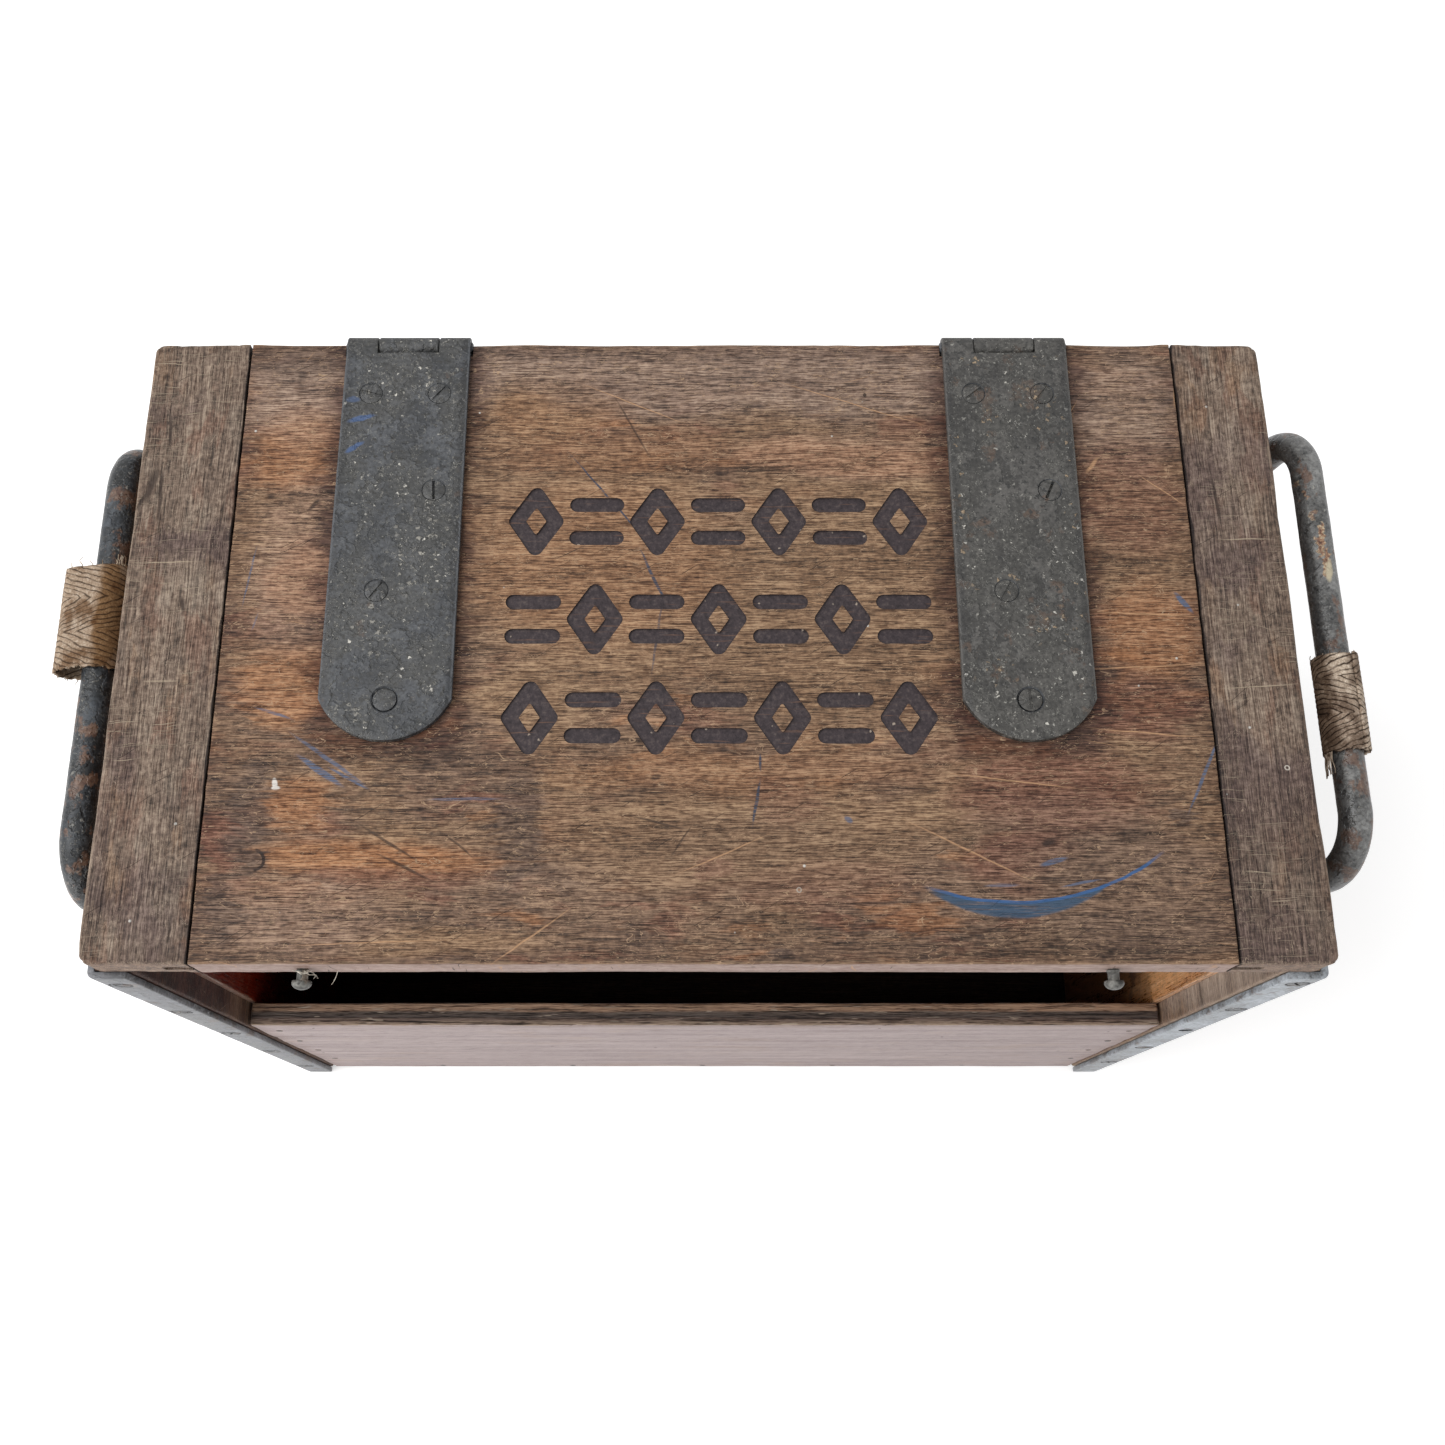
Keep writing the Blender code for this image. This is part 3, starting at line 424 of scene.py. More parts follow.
def webFinish(name, look):
    f = Finish(name)
    woven = f.add("UVMap", uv_map="weave").outputs[0]
    woven = f.pushed(woven, f.cloud(0.0045, 2.0, output="Color"), (0.003, 0.0012, 0.0))
    pull = f.cloud((0.014, 0.01, 0.014), 1.0, output="Color", place=look["dirtPlace"])
    woven = f.pushed(woven, pull, (0.008, 0.0036, 0.0))
    parts = f.add("SeparateXYZ", {0: woven}).outputs
    band = f.calc("PINGPONG", parts[1], look["band"])
    slope = f.calc("MULTIPLY_ADD", band, look["slope"], parts[0])
    ridge = f.calc("PINGPONG", f.calc("DIVIDE", slope, look["pitch"]), 0.5)
    gap = f.fade(ridge, 0.22, 0.05)
    gap = f.times(gap, f.fade(f.cloud(0.005, 3.0, 0.6, place=(0.5, 0.0, 0.0)), 0.32, 0.54, 0.4, 1.0))
    thread = f.cloud(0.0006, 2.0, 0.6)
    dirt = f.cloud(0.012, 4.0, 0.6, place=look["dirtPlace"])
    fuzz = f.cloud(0.0022, 3.0, 0.7)
    tone = f.total((thread, 0.9), (fuzz, 0.9))
    f.colour = f.ramp(tone, (0.1, look["dark"]), (0.5, look["cotton"]), (0.9, look["pale"]))
    f.stain(f.fade(dirt, *look["dirtRange"]), look["dirt"])
    f.lay((gap, look["gap"]), look["shadow"])
    for tint, spots in look["stains"]:
        f.stain(f.ovals(spots, f.bent(0.006, 0.006)), tint)
    return f.done(0.92, f.total((thread, 0.5), (fuzz, 0.3), (ridge, 0.9)), 0.0003, specular=0.15)


# Mesh helpers
def addPiece(name, mesh):
    piece = bpy.data.objects.new(name, mesh)
    bpy.context.scene.collection.objects.link(piece)
    return piece


def shade(mesh, smooth):
    mesh.shade_smooth()
    mesh.set_sharp_from_angle(angle=math.radians(smooth))


def keep(name, bm, material, smooth=40.0):
    mesh = bpy.data.meshes.new(name)
    bm.to_mesh(mesh)
    bm.free()
    mesh.materials.append(material)
    shade(mesh, smooth)
    return addPiece(name, mesh)


def assign(piece, body, slot, *replaced):
    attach(piece, body)
    if replaced:
        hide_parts(*replaced)


# Cuts or joins shapes into a piece for good and throws the shapes away
def carve(piece, shapes, how="DIFFERENCE", smooth=40.0):
    for shape in shapes:
        step = piece.modifiers.new(how, "BOOLEAN")
        step.operation = how
        step.solver = "EXACT"
        step.material_mode = "TRANSFER"
        step.object = shape
    bpy.context.view_layer.update()
    result = bpy.data.meshes.new_from_object(piece.evaluated_get(bpy.context.evaluated_depsgraph_get()))
    piece.modifiers.clear()
    old, piece.data = piece.data, result
    bpy.data.meshes.remove(old)
    for shape in shapes:
        bpy.data.objects.remove(shape)
    shade(piece.data, smooth)


def boxShape(bm, low, high):
    low, high = Vector(low), Vector(high)
    made = bmesh.ops.create_cube(bm, size=1.0)
    bmesh.ops.scale(bm, vec=high - low, verts=made["verts"])
    bmesh.ops.translate(bm, vec=(low + high) / 2, verts=made["verts"])


def boxPiece(name, low, high, material):
    bm = bmesh.new()
    boxShape(bm, low, high)
    return keep(name, bm, material)


# A profile of radius and height, turned round and put in its place
def turned(bm, profile, segments, place):
    known = set(bm.verts)
    line = [bm.verts.new((radius, 0.0, height)) for radius, height in profile]
    edges = [bm.edges.new(pair) for pair in zip(line, line[1:])]
    bmesh.ops.spin(bm, geom=line + edges, cent=(0, 0, 0), axis=(0, 0, 1), angle=math.tau, steps=segments,
                   use_merge=True)
    made = [vert for vert in bm.verts if vert not in known]
    bmesh.ops.transform(bm, matrix=place, verts=made)
    bmesh.ops.remove_doubles(bm, verts=made, dist=0.00001)
    bmesh.ops.recalc_face_normals(bm, faces=bm.faces)


def turnedPiece(name, profile, segments, place, material):
    bm = bmesh.new()
    turned(bm, profile, segments, place)
    return keep(name, bm, material)


def facing(point, normal, turn=0.0):
    aim = Vector((0.0, 0.0, 1.0)).rotation_difference(Vector(normal)).to_matrix().to_4x4()
    return Matrix.Translation(point) @ aim @ Matrix.Rotation(turn, 4, "Z")


lidEnds = (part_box("lid_cleat_left")[1].x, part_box("lid_cleat_right")[0].x)
edgeRows = (0.0, 0.0003, 0.0008, 0.0014, 0.0022, 0.0032)


# A board as a cube cut into rows, which lie close together near its edges
def boardShape(low, high, steps):
    bm = bmesh.new()
    bmesh.ops.create_cube(bm, size=1.0)
    rows = []
    for axis in range(3):
        length = high[axis] - low[axis]
        rim = [gap for gap in edgeRows if gap < length * 0.4]
        count = max(1, round((length - 2 * rim[-1]) / steps[axis]))
        inner = [rim[-1] + (length - 2 * rim[-1]) * index / count for index in range(1, count)]
        rows.append(rim + inner + [length - gap for gap in reversed(rim)])
        along = [edge for edge in bm.edges if abs(edge.verts[0].co[axis] - edge.verts[1].co[axis]) > 0.5]
        bmesh.ops.subdivide_edges(bm, edges=along, cuts=len(rows[axis]) - 2)
    for vert in bm.verts:
        vert.co = [low[axis] + rows[axis][round((vert.co[axis] + 0.5) * (len(rows[axis]) - 1))]
                   for axis in range(3)]
    return bm


# Edges rubbed round by an uneven amount, relief along the grain, and dents
def weather(bm, low, high, look, seed, corner):
    offset = Vector((seed * 3.1, seed * 1.7, seed * 2.3))
    for vert in bm.verts:
        at = Vector(vert.co)
        rub = 0.3 + 0.9 * noise.noise(at * 38 + offset) + 0.6 * max(0.0, noise.noise(at * 150 - offset))
        radius = look["edge"] + look["wear"] * max(0.0, rub)
        if look["seamShades"] and min(abs(at.x - end) for end in lidEnds) < 0.005:
            radius = 0.0003 + 0.0005 * max(0.0, rub - 0.3)
        core = Vector([min(max(at[axis], low[axis] + radius), high[axis] - radius) for axis in range(3)])
        normal = (at - core).normalized()
        along = Vector(at)
        along[look["grain"]] *= 0.1
        push = look["relief"] * (noise.noise(along * 300 + offset) + 0.6 * noise.noise(along * 110 + offset))
        for dent in look["dents"]:
            x, y, size, depth = (length / 1000 for length in dent)
            away = math.hypot(at.x - x, at.y - y) / size
            if away < 1.0 and normal.z > 0.5:
                push -= depth * (1 - away * away) ** 2
        place = core + normal * (radius + push)
        if corner:
            side, size = corner  # which end of X is rounded in plan, and how much
            out = [side * (place.x - (low if side < 0 else high).x) + size,
                   max(low.y - place.y, place.y - high.y) + size]
            if min(out) > 0.0:
                squeeze = max(out) / math.hypot(*out) - 1.0
                place.x += side * out[0] * squeeze
                place.y += (1 if place.y > 0 else -1) * out[1] * squeeze
        vert.co = place
    bm.normal_update()


def board(name, look, steps, body, slot, seed, shrink=0.0, corner=None, carved=None):
    low, high = (Vector(end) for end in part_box(name))
    low.x += shrink
    high.x -= shrink
    look = {**plainWood, **look}
    bm = boardShape(low, high, steps)
    weather(bm, low, high, look, seed, corner)
    piece = keep(name + "_worn", bm, woodFinish(name + "_finish", look, low, high))
    if carved:
        carved(piece, low, high)
    assign(piece, body, slot, name)


# Lid
brownTone = ((0.04, 0.025, 0.018), (0.158, 0.096, 0.064), (0.345, 0.225, 0.15))
tanTone = ((0.052, 0.031, 0.019), (0.21, 0.122, 0.07), (0.405, 0.266, 0.162))
orangeTone = ((0.09, 0.032, 0.012), (0.3, 0.135, 0.06), (0.5, 0.27, 0.145))
redTone = ((0.05, 0.018, 0.011), (0.16, 0.07, 0.044), (0.33, 0.175, 0.12))
greyTone = ((0.065, 0.045, 0.037), (0.245, 0.165, 0.123), (0.44, 0.325, 0.25))
darkTone = ((0.02, 0.013, 0.011), (0.09, 0.058, 0.045), (0.2, 0.14, 0.108))
pinkTone = ((0.18, 0.11, 0.09), (0.37, 0.262, 0.232), (0.5, 0.4, 0.36))
warmTone = ((0.085, 0.05, 0.034), (0.33, 0.205, 0.145), (0.52, 0.37, 0.275))
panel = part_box("lid_panel")
strapBoxes = [(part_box("lid_strap_" + side)[0][:2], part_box("lid_strap_" + side)[1][:2]) for side in sides]
# Painted shade in the gaps beside the cleats, seen from above
seamShades = tuple(((end - gap, -0.2), (end + 0.0001, 0.2)) for end, gap in zip(lidEnds, (0.0001, 0.0004)))
lidLook = {
    "grain": 0, "faces": (0, 1), "topOnly": True, "relief": 0.00016, "edge": 0.0008, "wear": 0.0016,
    "depth": 0.00045, "brown": brownTone, "dirt": (0.5, 0.44, 0.44), "grime": 0.55, "halos": strapBoxes,
    "pores": 0.85, "cracks": 0.65, "bare": 0.45, "rim": 0.0012, "specks": 0.8, "front": pinkTone,
    "hairs": 0.75,
    "blush": ((redTone, 0.2, 0.51, 0.75), (orangeTone, 0.5, 0.54, 0.65), (darkTone, 0.9, 0.56, 0.45)),
    "pale": (0.42, 0.28, 0.175), "scratch": (0.5, 0.29, 0.16), "rough": (0.55, 0.74), "specular": 0.25,
    "slants": ((-9, 0.71), (14, 0.73), (58, 0.75)), "weights": (0.7, 0.9, 1.35, 1.1), "streaks": 0.019,
    "poreFrom": (0.56, 0.64), "hairFrom": (0.43, 0.55), "drifts": ((tanTone, 0.44, 0.62),), "seamShades": seamShades,
    "rubbed": ((-0.4, panel[0].y, 0.0), (0.4, panel[1].y, 0.0)),
    "patches": (
        (greyTone, ((0, 112, 190, 17, 0, 0.85), (-165, 100, 22, 26, 0, 0.8), (170, 98, 22, 30, 0, 0.7))),
        (tanTone, (
            (10, -82, 70, 20, 0), (-43, 30, 55, 50, 0), (-110, -120, 50, 6, 0), (45, 10, 55, 55, 0),
            (-67, 97, 25, 17, 0))),
        (orangeTone, (
            (-165, 79, 22, 16, 8, 0.8), (-159, 23, 15, 16, 0, 0.9), (-160, -20, 17, 16, 10, 0.8),
            (-43, 30, 50, 35, 0, 0.35), (55, 77, 46, 7.5, -3, 0.8), (-126, -89, 42, 7.5, -3),
            (-152, -69, 11, 10, 20, 0.8), (173, 0, 19, 20, 0, 0.75), (108, -89, 11, 5, 0, 0.9),
            (-60, 96, 30, 16, 0, 0.3), (10, -56, 75, 9, 0, 0.35), (-30, 78, 55, 10, 0, 0.35))),
        (redTone, (
            (-181, -85, 7.5, 13, 0), (-118, -97, 30, 6, 0, 0.7), (130, -64, 34, 17, 0, 0.85),
            (169, 58, 21, 26, 0, 0.6), (118, -90, 21, 12, 0), (165, -30, 24, 12, 0, 0.7),
            (45, -100, 30, 10, 0, 0.4), (0, -92.5, 10, 4.5, 0, 0.6), (29, -69, 13, 10, 0, 0.45))),
        (brownTone, ((160, -105, 45, 24, 0), (-165, -118, 40, 14, 0))),
        (warmTone, (
            (-161, 28, 20, 36, 0, 0.55), (-165, 98, 20, 18, 0, 0.35), (-150, -112, 34, 12, 0, 0.4),
            (55, 77, 46, 10, -3, 0.45))),
        (greyTone, ((52, 120.5, 50, 8.5, 0), (-55, 112, 20, 12, 0, 0.5), (-172, 110, 16, 10, 0, 0.6))),
        (darkTone, (
            (-171, -70, 6.5, 20, -14, 0.75), (-169, -90.5, 6, 6.5, 0, 0.8), (-176, -108, 5.5, 16, 0, 0.6),
            (-71, -79, 8.5, 24, 0, 0.75), (-168, 120, 22, 7, 0, 0.5), (177.9, -74.7, 4, 4, 0, 0.8),
            (-148, 60, 6, 30, 0, 0.4), (150, -119, 50, 8, 0, 0.35), (28.5, -125.5, 5.5, 2.4, 0, 0.8),
            (137, -83, 42, 18, 0, 0.3), (18, -90, 55, 18, 0, 0.2))),
    ),
    "scratches": (
        (172, 7.8, 18, 0.36, -3), (-64, -118.5, 15, 0.34, 36), (170, -14, 20, 0.34, 3),
        (155.6, 73, 3.8, 0.8, 52), (192.5, 105, 5.2, 0.8, 82), (115, -60, 22, 0.3, -7),
        (168, -41, 19, 0.3, -5), (-30, 101, 20, 0.26, -24), (60, 101, 28, 0.26, -19),
        (6, -88, 16, 0.28, 24), (97, -87, 22, 0.36, -27), (-120, -121, 26, 0.26, 2),
        (146, 92, 10, 0.28, 61), (182, 62, 10, 0.26, -38)),
    "gouges": (
        (-123.5, -59, 15, 1, 43, 0.5), (-157, 55.3, 3, 0.8, 50), (-118, -84, 12, 0.5, -32, 0.9),
        (-112, -93, 11, 0.5, -26, 0.9), (-92, -85, 6, 0.4, -40, 0.8), (126.2, -83.5, 2.6, 1.1, 20),
        (-30, 90, 14, 0.4, -62, 0.8), (-18, -76.2, 9.5, 0.4, -14, 0.9), (-19.5, -58.5, 1.8, 1, 20, 0.9),
        (-9.8, -83.3, 6, 0.35, 57, 0.8), (-29.4, -54.7, 1.2, 0.8, 0, 0.7), (6.3, -47.6, 1.6, 0.7, 0, 0.8),
        (-166.3, 114, 1.9, 1.9, 0, 0.7)),
    "paint": (
        ((0.1, 0.122, 0.185), (
            (-143, -51.5, 16.5, 0.8, -35, 0.8), (-146, -56, 10, 1.2, -34), (-135, -59, 8, 0.6, -28),
            (-91, -67, 12.5, 0.6, 1, 0.7), (-165.5, -33, 7.2, 0.6, -18, 0.8),
            (-180, 24, 0.4, 11.5, -7, 0.8), (-176.2, 4.5, 0.4, 3.5, -15, 0.5), (127.8, -90.8, 4.8, 1, 14),
            (186.8, -57.5, 15, 0.6, 64), (186.3, 12.8, 5, 1.1, -54), (52.5, -75, 1.8, 1, -40, 0.8),
            (137.5, -99, 7, 0.5, 10, 0.9), (108, -99.9, 6, 0.7, 2, 0.6))),
        ((0.66, 0.62, 0.58), ((-162.5, -61.2, 1, 2.2, 12), (-162, -62.8, 1.6, 0.8, 0))),
        ((0.05, 0.058, 0.085), (
            (-39.5, 58.5, 23, 0.4, -51), (-21, 23.5, 12.5, 0.6, -66), (-19.5, -2, 14, 0.5, 82, 0.7),
            (19.9, -52.6, 0.5, 3, 0), (18.2, -68.3, 0.6, 8.6, -10))),
    ),
    "arcs": (
        {"circles": ((112.8, -14.4, 92), (112.6, -57.4, 54.7)), "span": (-112, -48, 6), "thin": 0.75,
         "colour": (0.04, 0.078, 0.13)},
        {"circles": ((112.8, -14.4, 91.9),), "width": 0.6, "span": (-112, -51, 8), "thin": 0.35,
         "colour": (0.04, 0.11, 0.26)},
        {"circles": ((-168.4, -90.3, 4.1),), "width": 0.6, "span": (-85, 85, 15), "thin": 0.5,
         "colour": (0.018, 0.011, 0.009)},
        {"circles": ((33.4, -101.6, 0.8),), "width": 0.24, "span": (-181, 181, 0.5), "thin": 0.8,
         "colour": (0.4, 0.34, 0.29)},
    ),
    "dents": ((-169, -90.5, 5, 0.4), (-70, -80, 20, 0.3), (126, -83.5, 4, 0.5), (60, -50, 30, 0.3),
              (-157, 55, 4, 0.5)),
}
markLook = {
    "rows": (0.0478, 0.0058, -0.0348), "height": 0.0295, "stroke": 0.0062, "depth": 0.0009, "gap": 0.0012,
    "start": -0.08, "end": 0.089, "units": 7, "round": 8, "corner": 0.0006, "apart": 0.62,
}
# The joint of the lid's boards: tongues on the panel in grooves of the cleats
tongueLook = {"length": 0.011, "half": 0.00225, "overlap": 0.004, "set": (0.001, 0.012),
              "grooveHalf": 0.00255, "play": 0.0003, "clear": 0.01}


def markFinish():
    f = Finish("markPaint")
    fine = f.cloud(0.0016, 3.0, 0.65)
    f.colour = f.ramp(fine, (0.25, (0.016, 0.012, 0.014)), (0.55, (0.045, 0.034, 0.037)),
                      (0.8, (0.105, 0.082, 0.074)))
    bits = f.dots(0.0042, (0.16, 0.08), (0.76, 0.8), f.bent(0.002, 0.0015))
    f.lay(bits, (0.33, 0.27, 0.22))
    thin = f.fade(f.cloud((0.02, 0.0012, 0.01), 3.0, 0.6), 0.6, 0.7)
    f.lay((thin, 0.55), (0.16, 0.085, 0.055))
    return f.done(0.62, f.total((fine, 0.8), (bits, 0.5)), 0.0003, specular=0.25)


# Points round a lozenge of the given half sizes, set outwards by a round margin
def lozenge(centre, wide, tall, margin):
    tilt = math.atan2(wide, tall)
    corners = ((wide, 0.0, -tilt, tilt), (0.0, tall, tilt, math.pi - tilt),
               (-wide, 0.0, math.pi - tilt, math.pi + tilt), (0.0, -tall, math.pi + tilt, math.tau - tilt))
    points = []
    for x, y, first, last in corners:
        for index in range(markLook["round"] + 1):
            angle = first + (last - first) * index / markLook["round"]
            points.append((centre[0] + x + margin * math.cos(angle),
                           centre[1] + y + margin * math.sin(angle)))
    return points


# A closed band between two outlines with as many points each, or a block within one
def cutter(bm, outer, inner, heights):
    lines = [[bm.verts.new((*point, height)) for point in outline] for outline in (outer, inner) if outline
             for height in heights]
    pairs = ((0, 1), (2, 3), (0, 2), (1, 3)) if inner else ((0, 1),)
    for first, second in pairs:
        start, end = lines[first], lines[second]
        for quad in zip(start, start[1:] + start[:1], end[1:] + end[:1], end):
            bm.faces.new(quad)
    if not inner:
        bm.faces.new(lines[0])
        bm.faces.new(lines[1])


# Three rows of plain bars and lozenges, routed and filled black
def markShapes(top):
    heights = (top - markLook["depth"], top + 0.004)
    pitch = (markLook["end"] - markLook["start"]) / markLook["units"]
    width = markLook["stroke"]
    tall = (markLook["height"] - width) / 2
    wide = (pitch - width) / 2 - markLook["gap"]
    long = math.hypot(wide, tall)
    inset = width / 2 + markLook["corner"]
    bm = bmesh.new()
    for row, middle in enumerate(markLook["rows"]):
        for unit in range(markLook["units"]):
            x = markLook["start"] + pitch * (unit + 0.5)
            if (unit + row) % 2:
                for way in (-1, 1):
                    place = (x, middle + way * tall * markLook["apart"])
                    cutter(bm, lozenge(place, wide, 0.00001, width / 2), None, heights)
            else:
                sizes = (wide - inset * long / tall, tall - inset * long / wide)
                inner = lozenge((x, middle), *sizes, markLook["corner"])
                cutter(bm, lozenge((x, middle), wide, tall, width / 2), inner, heights)
    bmesh.ops.recalc_face_normals(bm, faces=bm.faces)
    return keep("marks", bm, markFinish())


# The marks, the notches for the hinges, and the tongues
def carveLid(lid, low, high):
    wood = lid.data.materials[0]
    marks = markShapes(high.z)
    axis = joints["lid_hinge"]["pos_m"]
    notches = []
    for side in sides:
        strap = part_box("lid_strap_" + side)
        gap, reach = hingeLook["notchGap"], hingeLook["notchReach"]
        start = (strap[0].x - gap, axis[1] - reach, axis[2] - reach)
        notches.append(boxPiece("notch", start, (strap[1].x + gap, high.y + 0.01, high.z + 0.01), wood))
    carve(lid, notches + [marks])
    middle = (low.z + high.z) / 2
    half, overlap = tongueLook["half"], tongueLook["overlap"]
    spans = ((panel[0].x, low.x + overlap), (high.x - overlap, panel[1].x))
    tongues = []
    for ends, front in zip(spans, tongueLook["set"]):
        start = (ends[0], panel[0].y + front, middle - half)
        tongues.append(boxPiece("tongue", start, (ends[1], panel[1].y - 0.001, middle + half), wood))
    carve(lid, tongues, "UNION")


hingeLook = {
    "thickness": 0.0028, "knuckle": 0.0042, "middle": 0.0246, "gap": 0.0004, "end": 1.09, "half": 0.0254,
    "step": 0.0015, "rim": 0.0006, "rimDrop": 0.00035, "notchGap": 0.001, "notchReach": 0.0046,
    "relief": 0.00018, "hole": 0.0049, "loose": 0.00535, "arcSteps": 40, "chamfer": 0.0004,
    "pimple": 0.00008,
}
board("lid_panel", lidLook, (0.0048, 0.002, 0.004), "lid", "lid_wood", 1, tongueLook["length"],
      carved=carveLid)
print("lid panel made")

# Cleats
cleatTone = ((0.042, 0.03, 0.023), (0.17, 0.12, 0.09), (0.36, 0.28, 0.215))
purpleTone = ((0.034, 0.022, 0.019), (0.108, 0.072, 0.061), (0.235, 0.172, 0.145))
wornTone = ((0.085, 0.066, 0.051), (0.24, 0.188, 0.146), (0.43, 0.35, 0.275))
cleatLook = {
    "grain": 1, "faces": (0, 1), "relief": 0.00022, "edge": 0.0009, "wear": 0.0018, "depth": 0.00055,
    "brown": cleatTone, "dirt": (0.62, 0.56, 0.55), "grime": 0.4, "weights": (0.6, 0.9, 1.0, 1.3),
    "pores": 0.7, "cracks": 0.8, "bare": 0.3, "rim": 0.001, "specks": 0.75, "hairs": 0.65,
    "pale": (0.38, 0.29, 0.215), "scratch": (0.38, 0.3, 0.22), "rough": (0.6, 0.78), "specular": 0.25,
    "slants": ((4, 0.655), (-3, 0.665), (-16, 0.72), (86, 0.71)), "front": greyTone, "seamShades": seamShades,
    "lined": 0.85,
    "blush": ((redTone, 0.3, 0.53, 0.4), (tanTone, 0.7, 0.55, 0.45), (wornTone, 0.45, 0.53, 0.65)),
}
cleatMarks = {
    "left": {
        "drifts": ((purpleTone, 0.52, 0.66),),
        "patches": ((purpleTone, ((-221.5, -52, 6.5, 12, 0, 0.8), (-226, -85, 4, 30, 0, 0.6))),),
        "gouges": ((-223.2, 63.5, 1.6, 8, -12), (-219, 60, 0.7, 12, 3), (-225.5, 58, 0.8, 5, -25),
                   (-205, 12, 0.8, 3.5, 15), (-218, 88, 0.6, 8, 5)),
        "scratches": ((-213, 30, 10, 0.3, 2), (-210, -20, 6, 0.3, 0)),
    },
    "right": {
        "drifts": ((purpleTone, 0.5, 0.64),),
        "patches": ((darkTone, ((214, -92, 18, 34, 0, 0.5),)),),
        "gouges": ((204, 58, 0.6, 10, 4),),
        "scratches": ((212, -22, 13, 0.3, 4), (214, 40, 9, 0.3, 0)),
        "arcs": ({"circles": ((218.7, -54.8, 0.8),), "width": 0.24, "span": (-181, 181, 0.5), "thin": 0.8,
                  "colour": (0.52, 0.47, 0.41)},),
    },
}


def carveCleat(cleat, low, high):
    half, clear = tongueLook["grooveHalf"], tongueLook["clear"]
    middle = (low.z + high.z) / 2
    if low.x > 0:
        ends = (low.x - clear, panel[1].x + tongueLook["play"])
    else:
        ends = (panel[0].x - tongueLook["play"], high.x + clear)
    start = (ends[0], low.y - clear, middle - half)
    end = (ends[1], high.y + clear, middle + half)
    carve(cleat, [boxPiece("groove", start, end, cleat.data.materials[0])])


for side, sign in sides.items():
    low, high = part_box("lid_cleat_" + side)
    rubbed = ((low.x if sign < 0 else -0.4, low.y, 0.0), (high.x if sign > 0 else 0.4, high.y, 0.0))
    board("lid_cleat_" + side, {**cleatLook, **cleatMarks[side], "rubbed": rubbed}, (0.0018, 0.005, 0.004),
          "lid", "cleat_wood", 2 + sign, corner=(sign, 0.0045), carved=carveCleat)
print("cleats made")

# Case boards
wallTone = ((0.055, 0.037, 0.028), (0.19, 0.128, 0.092), (0.37, 0.272, 0.203))
# Painted shade for the left side wall
wallShadeTone = ((0.014, 0.004, 0.003), (0.042, 0.012, 0.009), (0.13, 0.062, 0.048))
# Pale wood with painted light for the right side wall
paleLitWallTone = ((0.09, 0.066, 0.052), (0.35, 0.268, 0.212), (0.56, 0.46, 0.37))
interiorShadeTone = ((0.003, 0.002, 0.002), (0.01, 0.007, 0.006), (0.03, 0.02, 0.015))
panelTone = ((0.26, 0.198, 0.192), (0.405, 0.33, 0.324), (0.52, 0.44, 0.425))
liningTone = ((0.32, 0.12, 0.04), (0.76, 0.37, 0.15), (0.9, 0.58, 0.33))
shadedLiningTone = ((0.03, 0.002, 0.001), (0.11, 0.006, 0.001), (0.19, 0.018, 0.004))
wallLook = {
    "grain": 1, "faces": (1, 2), "axes": (2, 1, 0), "relief": 0.00016, "edge": 0.0006, "wear": 0.0014,
    "depth": 0.00045, "brown": wallTone, "dirt": (0.55, 0.48, 0.46), "grime": 0.5, "pores": 0.7,
    "cracks": 0.6, "bare": 0.35, "rim": 0.0012, "specks": 0.6, "pale": (0.38, 0.27, 0.19),
    "scratch": (0.42, 0.27, 0.17), "rough": (0.56, 0.74), "specular": 0.25,
    "slants": ((10, 0.72), (-24, 0.74)), "drifts": ((tanTone, 0.44, 0.66),), "weights": (0.9, 0.7, 1.0, 0.6),
    "blush": ((redTone, 0.3, 0.52, 0.5), (orangeTone, 0.6, 0.56, 0.3), (darkTone, 0.8, 0.55, 0.45)),
}
# The strip in front of each lining, on the boards' inner faces; the angles cover it outside
strip = ((285, -120, 85, 13, 0),)
# The left wall is a shaded copy: its darker tones, dull rubbed edges and near black strip and front edge are
# painted shade
shadedWallLook = {**wallLook, "brown": brownTone, "front": wallShadeTone, "patches": ((wallShadeTone, strip),),
            "rim": 0.0004, "pale": (0.21, 0.14, 0.1)}
# The right wall is a lit copy: its paler strip and front edge are partly its own pale wood and partly painted
# light
paleLitWallLook = {**wallLook, "brown": greyTone, "front": paleLitWallTone, "patches": ((paleLitWallTone, strip),)}
acrossLook = {**wallLook, "grain": 0, "faces": (0, 2), "axes": (0, 2, 1)}
# The bottom board is near black: painted shade inside the box
floorLook = {**wallLook, "grain": 0, "faces": (0, 1), "axes": (0, 1, 2), "brown": interiorShadeTone, "drifts": (),
             "blush": (), "pale": interiorShadeTone[2], "scratch": interiorShadeTone[2], "specular": 0.1}
battenLook = {**acrossLook, "grain": 2}
# A pale bare face, and a rough top edge that shows the plies
panelLook = {
    **acrossLook, "brown": panelTone, "dirt": (0.8, 0.72, 0.66), "grime": 0.5, "pores": 0.18, "cracks": 0.3,
    "bare": 0.35, "rim": 0.0014, "pale": (0.52, 0.45, 0.42), "wear": 0.0016, "weights": (1.1, 1.0, 0.7, 0.5),
    "drifts": (), "specks": 0.3, "hairs": 0.2, "blush": (((greyTone[2],) * 3, 0.4, 0.56, 0.25),),
    "slants": ((2, 0.72), (-12, 0.74)),
}
